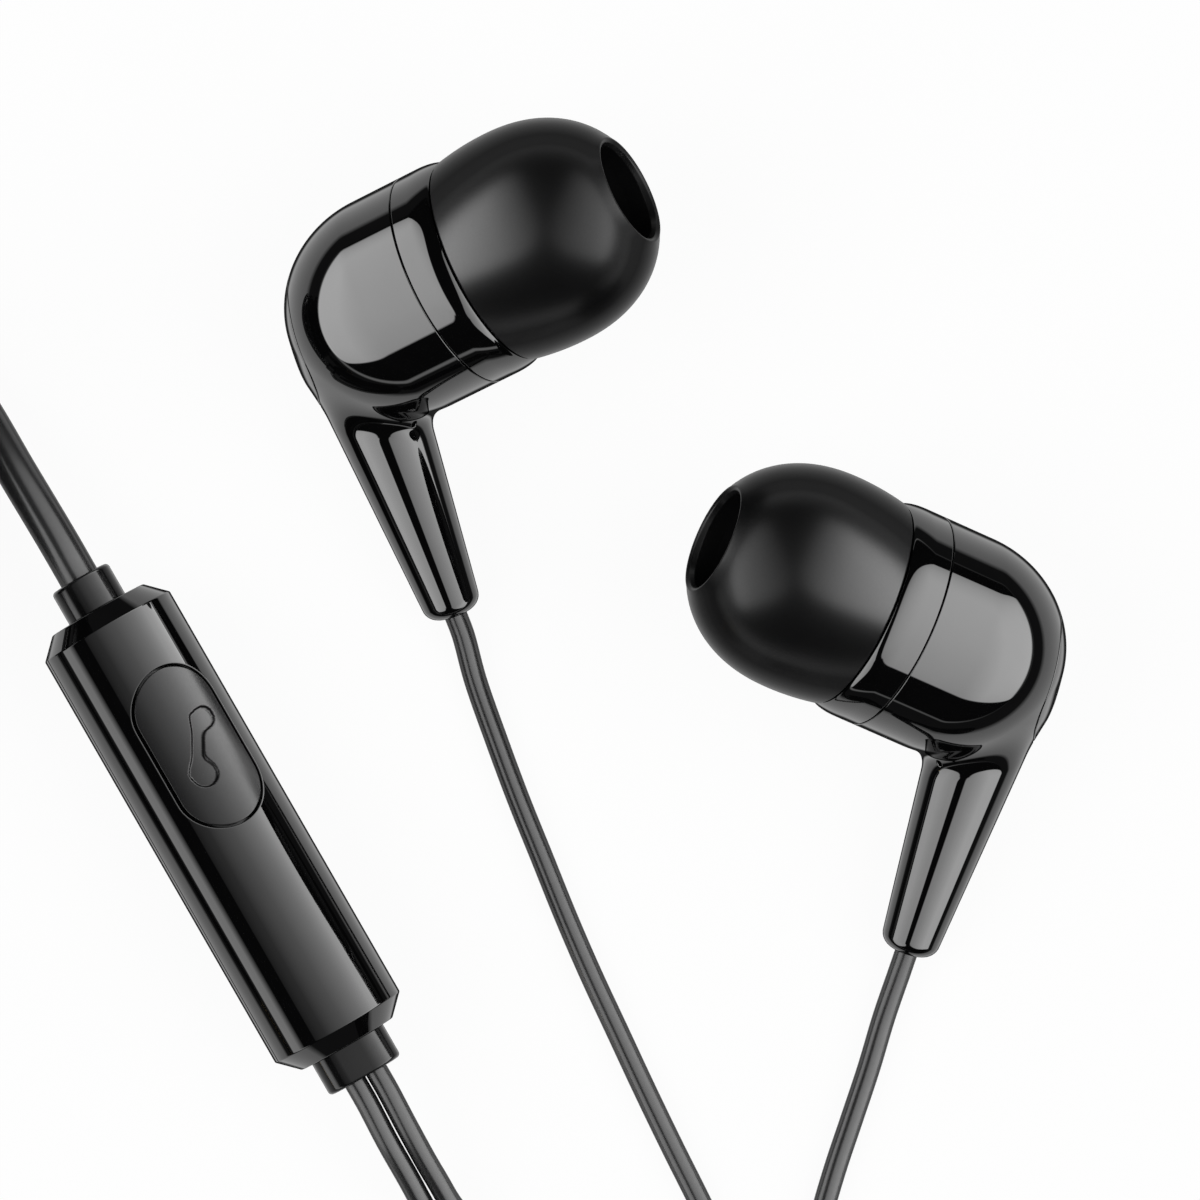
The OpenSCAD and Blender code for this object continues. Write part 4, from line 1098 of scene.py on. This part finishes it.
def solderMask():
    f = newFinish("solderMask")
    runs = {"Vector": f.place(), "Scale": 420, "Mortar Size": 0.06, "Mortar Smooth": 0.3}
    tracks = f.add("ShaderNodeTexBrick", {}, {
        **runs, "Color1": (0.012, 0.10, 0.045, 1), "Color2": (0.018, 0.13, 0.06, 1),
        "Mortar": (0.05, 0.26, 0.11, 1)})
    raised = f.add("ShaderNodeTexBrick", {}, runs, 1)
    grain = f.noise(f.place(), 3000, 2)
    return f.surface({
        "Base Color": tracks, "Roughness": 0.28 + 0.12 * grain, "Coat Weight": 0.4 * grain,
        "Normal": f.bump(raised, 0.02)})


finishes = {
    "gloss_shell": coated("glossShell", shellLook),
    "tip_silicone": coated("tipSilicone", tipLook),
    "button_plastic": coated("buttonPlastic", buttonLook),
    "collar_rubber": coated("collarRubber", collarLook),
    "cord_jacket": coated("cordJacket", jacketLook),
    "grip_plastic": satin("gripPlastic", gripLook, 0.42, 0.14, 0.008),
    "frame_plastic": satin("framePlastic", frameLook, 0.5, 0.16, 0.01),
    "steel": metal("steel", (0.42, 0.42, 0.43), (0.62, 0.62, 0.63), 0.24, 0.2, 0.2, 0.003),
    "magnet": metal("nickelPlate", (0.5, 0.5, 0.52), (0.66, 0.65, 0.64), 0.14, 0.16, 0.3, 0.002),
    "copper": windings(),
    "film": film(),
    "board": solderMask(),
    "plunger_plastic": satin("ivoryPlastic", ivoryLook, 0.4, 0.1, 0.006),
    "contact_gold": metal(
        "contactGold", (0.72, 0.52, 0.22), (0.9, 0.70, 0.36), 0.16, 0.16, 2, 0.002, (40, 1, 1)),
}


cordsAndPlug = list(cordPieces.values()) + plugPieces


def dress():
    for thing in gloss + rubber + tips + [callButton] + cordsAndPlug:
        thing.data.materials.clear()
        thing.data.materials.append(finishes[thing["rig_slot"]])
    for part in frame["record"]["subparts"]:
        thing = frame["nodes"][part["node"]]
        for slot in thing.material_slots:
            slot.material = finishes[part["material_slot"]]


dress()
print("finishes on:", len(finishes))


# floor, world and lamps
studio = {
    "floor": 60,          # m across
    "floorGlow": 0.94,    # share of the floor's white that shadows don't reach
    "fill": 0.28,
    "ceiling": 0.006,     # what gloss sees overhead between the softboxes
    "clearLayers": (12, 32),  # softboxes that a reflected ray passes, for certain and at most
    "lampPower": 5.0,     # W, the plain light from each side
    "lampSize": 0.8, "lampAt": (0.7, -0.1, 0.7),
}

# softboxes: corners in m as front inner, back inner, back outer, front outer; tones from the inner
# edge to the outer; brightest at the middle's share of the way back, and fading from there
budBox = {"middle": 0.42, "fade": 1.4, "glow": 4.3}
remoteBox = {"middle": 0.5, "fade": 0, "glow": 4.3}
tipBox = {
    "middle": 0.42, "fade": 1, "glow": 7.6,
    "height": {"left": 0.35, "right": 0.36},  # m, apart, because boxes in one place hide each other
    "near": ((0, 0.04), (0.2, 0.36), (0.3, 0.6), (0.5, 0.8), (0.72, 1)),  # tones on the tip's own side
    "away": ((0, 0.03), (0.2, 0.18), (0.5, 0.31), (0.72, 0.45)),
    "left": ((0.035, -0.087), (-0.421, 0.865), (-1.483, 0.352), (-1.027, -0.6)),
    "right": ((-0.056, -0.078), (0.368, 0.889), (1.38, 0.444), (0.956, -0.522)),
}
boxes = {
    "leftOnLeftBud": {
        **budBox, "lights": "leftBud", "tones": ((0, 0.75), (0.4, 1), (1, 0.9)), "corners": (
            (-0.02, -0.5, 0.399), (-0.37, 0.454, 0.346),
            (-1.392, 1.223, 0.016), (-0.871, -0.896, 0.011))},
    "rightOnLeftBud": {
        **budBox, "lights": "leftBud", "tones": ((0, 0.4), (0.45, 0.9), (1, 0.8)), "corners": (
            (0.07, -0.453, 0.419), (0.1, 0.314, 0.451),
            (1.155, 0.730, 0.012), (0.929, -0.836, 0.011))},
    "leftOnRightBud": {
        **budBox, "lights": "rightBud", "tones": ((0, 0.65), (0.4, 0.8), (1, 0.7)), "corners": (
            (-0.147, -0.452, 0.399), (-0.487, 0.454, 0.346),
            (-1.392, 1.223, 0.016), (-0.871, -0.896, 0.011))},
    "rightOnRightBud": {
        **budBox, "lights": "rightBud", "tones": ((0, 0.5), (0.4, 1), (1, 0.95)), "corners": (
            (-0.11, -0.453, 0.419), (-0.08, 0.314, 0.451),
            (1.155, 0.730, 0.012), (0.929, -0.836, 0.011))},
    "leftOnRemote": {
        **remoteBox, "lights": "remote", "tones": ((0, 0), (0.3, 0.4), (1, 0.42)), "corners": (
            (-0.110, -0.871, 0.281), (-0.808, 0.343, 0.281),
            (-1.129, 0.159, 0.01), (-0.431, -1.055, 0.01))},
    "rightOnRemote": {
        **remoteBox, "lights": "remote",
        "tones": ((0, 0.02), (0.17, 0.06), (0.32, 0.2), (0.45, 0.42), (0.61, 0.75), (0.93, 1)), "corners": (
            (0.093, -0.754, 0.34), (-0.605, 0.46, 0.34),
            (0.301, 0.981, 0.01), (0.999, -0.233, 0.01))},
}
for earSide in ("left", "right"):
    for boxSide in ("left", "right"):
        boxes[f"{boxSide}On{earSide.title()}Tip"] = {
            **tipBox, "lights": earSide + "Tip", "tones": tipBox["near" if boxSide == earSide else "away"],
            "corners": [(x, y, tipBox["height"][earSide]) for x, y in tipBox[boxSide]]}


def seenRays(f):
    kinds = ("Is Camera Ray", "Is Glossy Ray", "Is Transmission Ray")
    rays = [f.add("ShaderNodeLightPath", out=kind) for kind in kinds]
    return rays[0].largest(rays[1]).largest(rays[2])


def makeFloor():
    bpy.ops.mesh.primitive_plane_add(size=studio["floor"], location=(0, 0, 0))
    floor = bpy.context.object
    floor.name = "floor"
    f = newFinish("floorWhite")
    shade = f.add("ShaderNodeBsdfDiffuse", {}, {"Color": (0.95, 0.95, 0.95, 1)})
    white = f.add("ShaderNodeEmission", {}, {"Color": (1, 1, 1, 1), "Strength": 1})
    mixed = f.add("ShaderNodeMixShader", {}, {0: seenRays(f) * studio["floorGlow"], 1: shade, 2: white})
    floor.data.materials.append(f.add("ShaderNodeOutputMaterial", {}, {"Surface": mixed}))


def makeWorld():
    world = bpy.data.worlds.new("world")
    f = Finish(world)
    way = f.add("ShaderNodeTexCoord", out="Generated")
    upwards = f.add("ShaderNodeSeparateXYZ", {}, {"Vector": way}, "Z")
    fromCamera = f.add("ShaderNodeLightPath", out="Is Camera Ray")
    backdrop = f.ramp(upwards, (0.01, 1), (0.04, studio["ceiling"])).largest(fromCamera)
    seen = seenRays(f)
    light = backdrop * seen + studio["fill"] * (1 - seen)
    shine = f.add("ShaderNodeBackground", {}, {"Color": (1, 1, 1, 1), "Strength": light})
    f.add("ShaderNodeOutputWorld", {}, {"Surface": shine})
    bpy.context.scene.world = world


def makeLamp(name, side):
    data = bpy.data.lights.new(name, "AREA")
    data.shape = "SQUARE"
    data.size = studio["lampSize"]
    data.energy = studio["lampPower"]
    thing = addThing(name, data)
    x, y, z = studio["lampAt"]
    thing.location = (side * x, y, z)
    thing.rotation_euler = Vector(thing.location).to_track_quat("Z", "Y").to_euler()
    thing.visible_glossy = False


# a softbox with round corners, which only the gloss of the given pieces sees
def makeBox(name, look, lit):
    data = bpy.data.meshes.new(name)
    data.from_pydata(look["corners"], [], [(0, 1, 2, 3)])
    across = data.uv_layers.new(name="across")
    for loop, uv in zip(across.data, ((0, 0), (1, 0), (1, 1), (0, 1))):
        loop.uv = uv
    f = newFinish(name)
    place = f.add("ShaderNodeTexCoord", out="UV")
    u = f.add("ShaderNodeSeparateXYZ", {}, {"Vector": place}, "X")
    v = f.add("ShaderNodeSeparateXYZ", {}, {"Vector": place}, "Y")
    a, b = (2 * u - 1) * (2 * u - 1), (2 * v - 1) * (2 * v - 1)
    corner = f.ramp(a * a * a + b * b * b, (0.85, 1), (1, 0))
    back = u - look["middle"]
    glow = f.ramp(v, *look["tones"]) * (1 - look["fade"] * back * back) * corner
    light = f.add("ShaderNodeEmission", {}, {
        "Color": f.tones((0, 0, 0), (1, 1, 1), glow), "Strength": look["glow"]})
    clear = f.add("ShaderNodeBsdfTransparent")
    both = f.add("ShaderNodeAddShader", {}, {0: light, 1: clear})
    data.materials.append(f.add("ShaderNodeOutputMaterial", {}, {"Surface": both}))
    thing = addThing(name, data)
    thing.visible_camera = thing.visible_diffuse = thing.visible_shadow = thing.visible_transmission = False
    shown = bpy.data.collections.new(name + "Lit")
    for piece in lit:
        shown.objects.link(piece)
    thing.light_linking.receiver_collection = shown


def glossOf(*names):
    return [thing for thing in gloss if thing.name.startswith(names)]


makeFloor()
makeWorld()
makeLamp("leftLamp", -1)
makeLamp("rightLamp", 1)
lit = {
    "leftBud": glossOf("left"), "leftTip": tips[:1], "rightTip": tips[1:],
    "remote": glossOf("remote") + [callButton] + rubber,
    "rightBud": glossOf("right") + cordsAndPlug,
}
for name, look in boxes.items():
    makeBox(name, look, lit[look["lights"]])
cycles = bpy.context.scene.cycles
cycles.min_transparent_bounces, cycles.transparent_max_bounces = studio["clearLayers"]
bpy.context.scene.view_settings.view_transform = "Standard"
print("floor, world and lamps set")
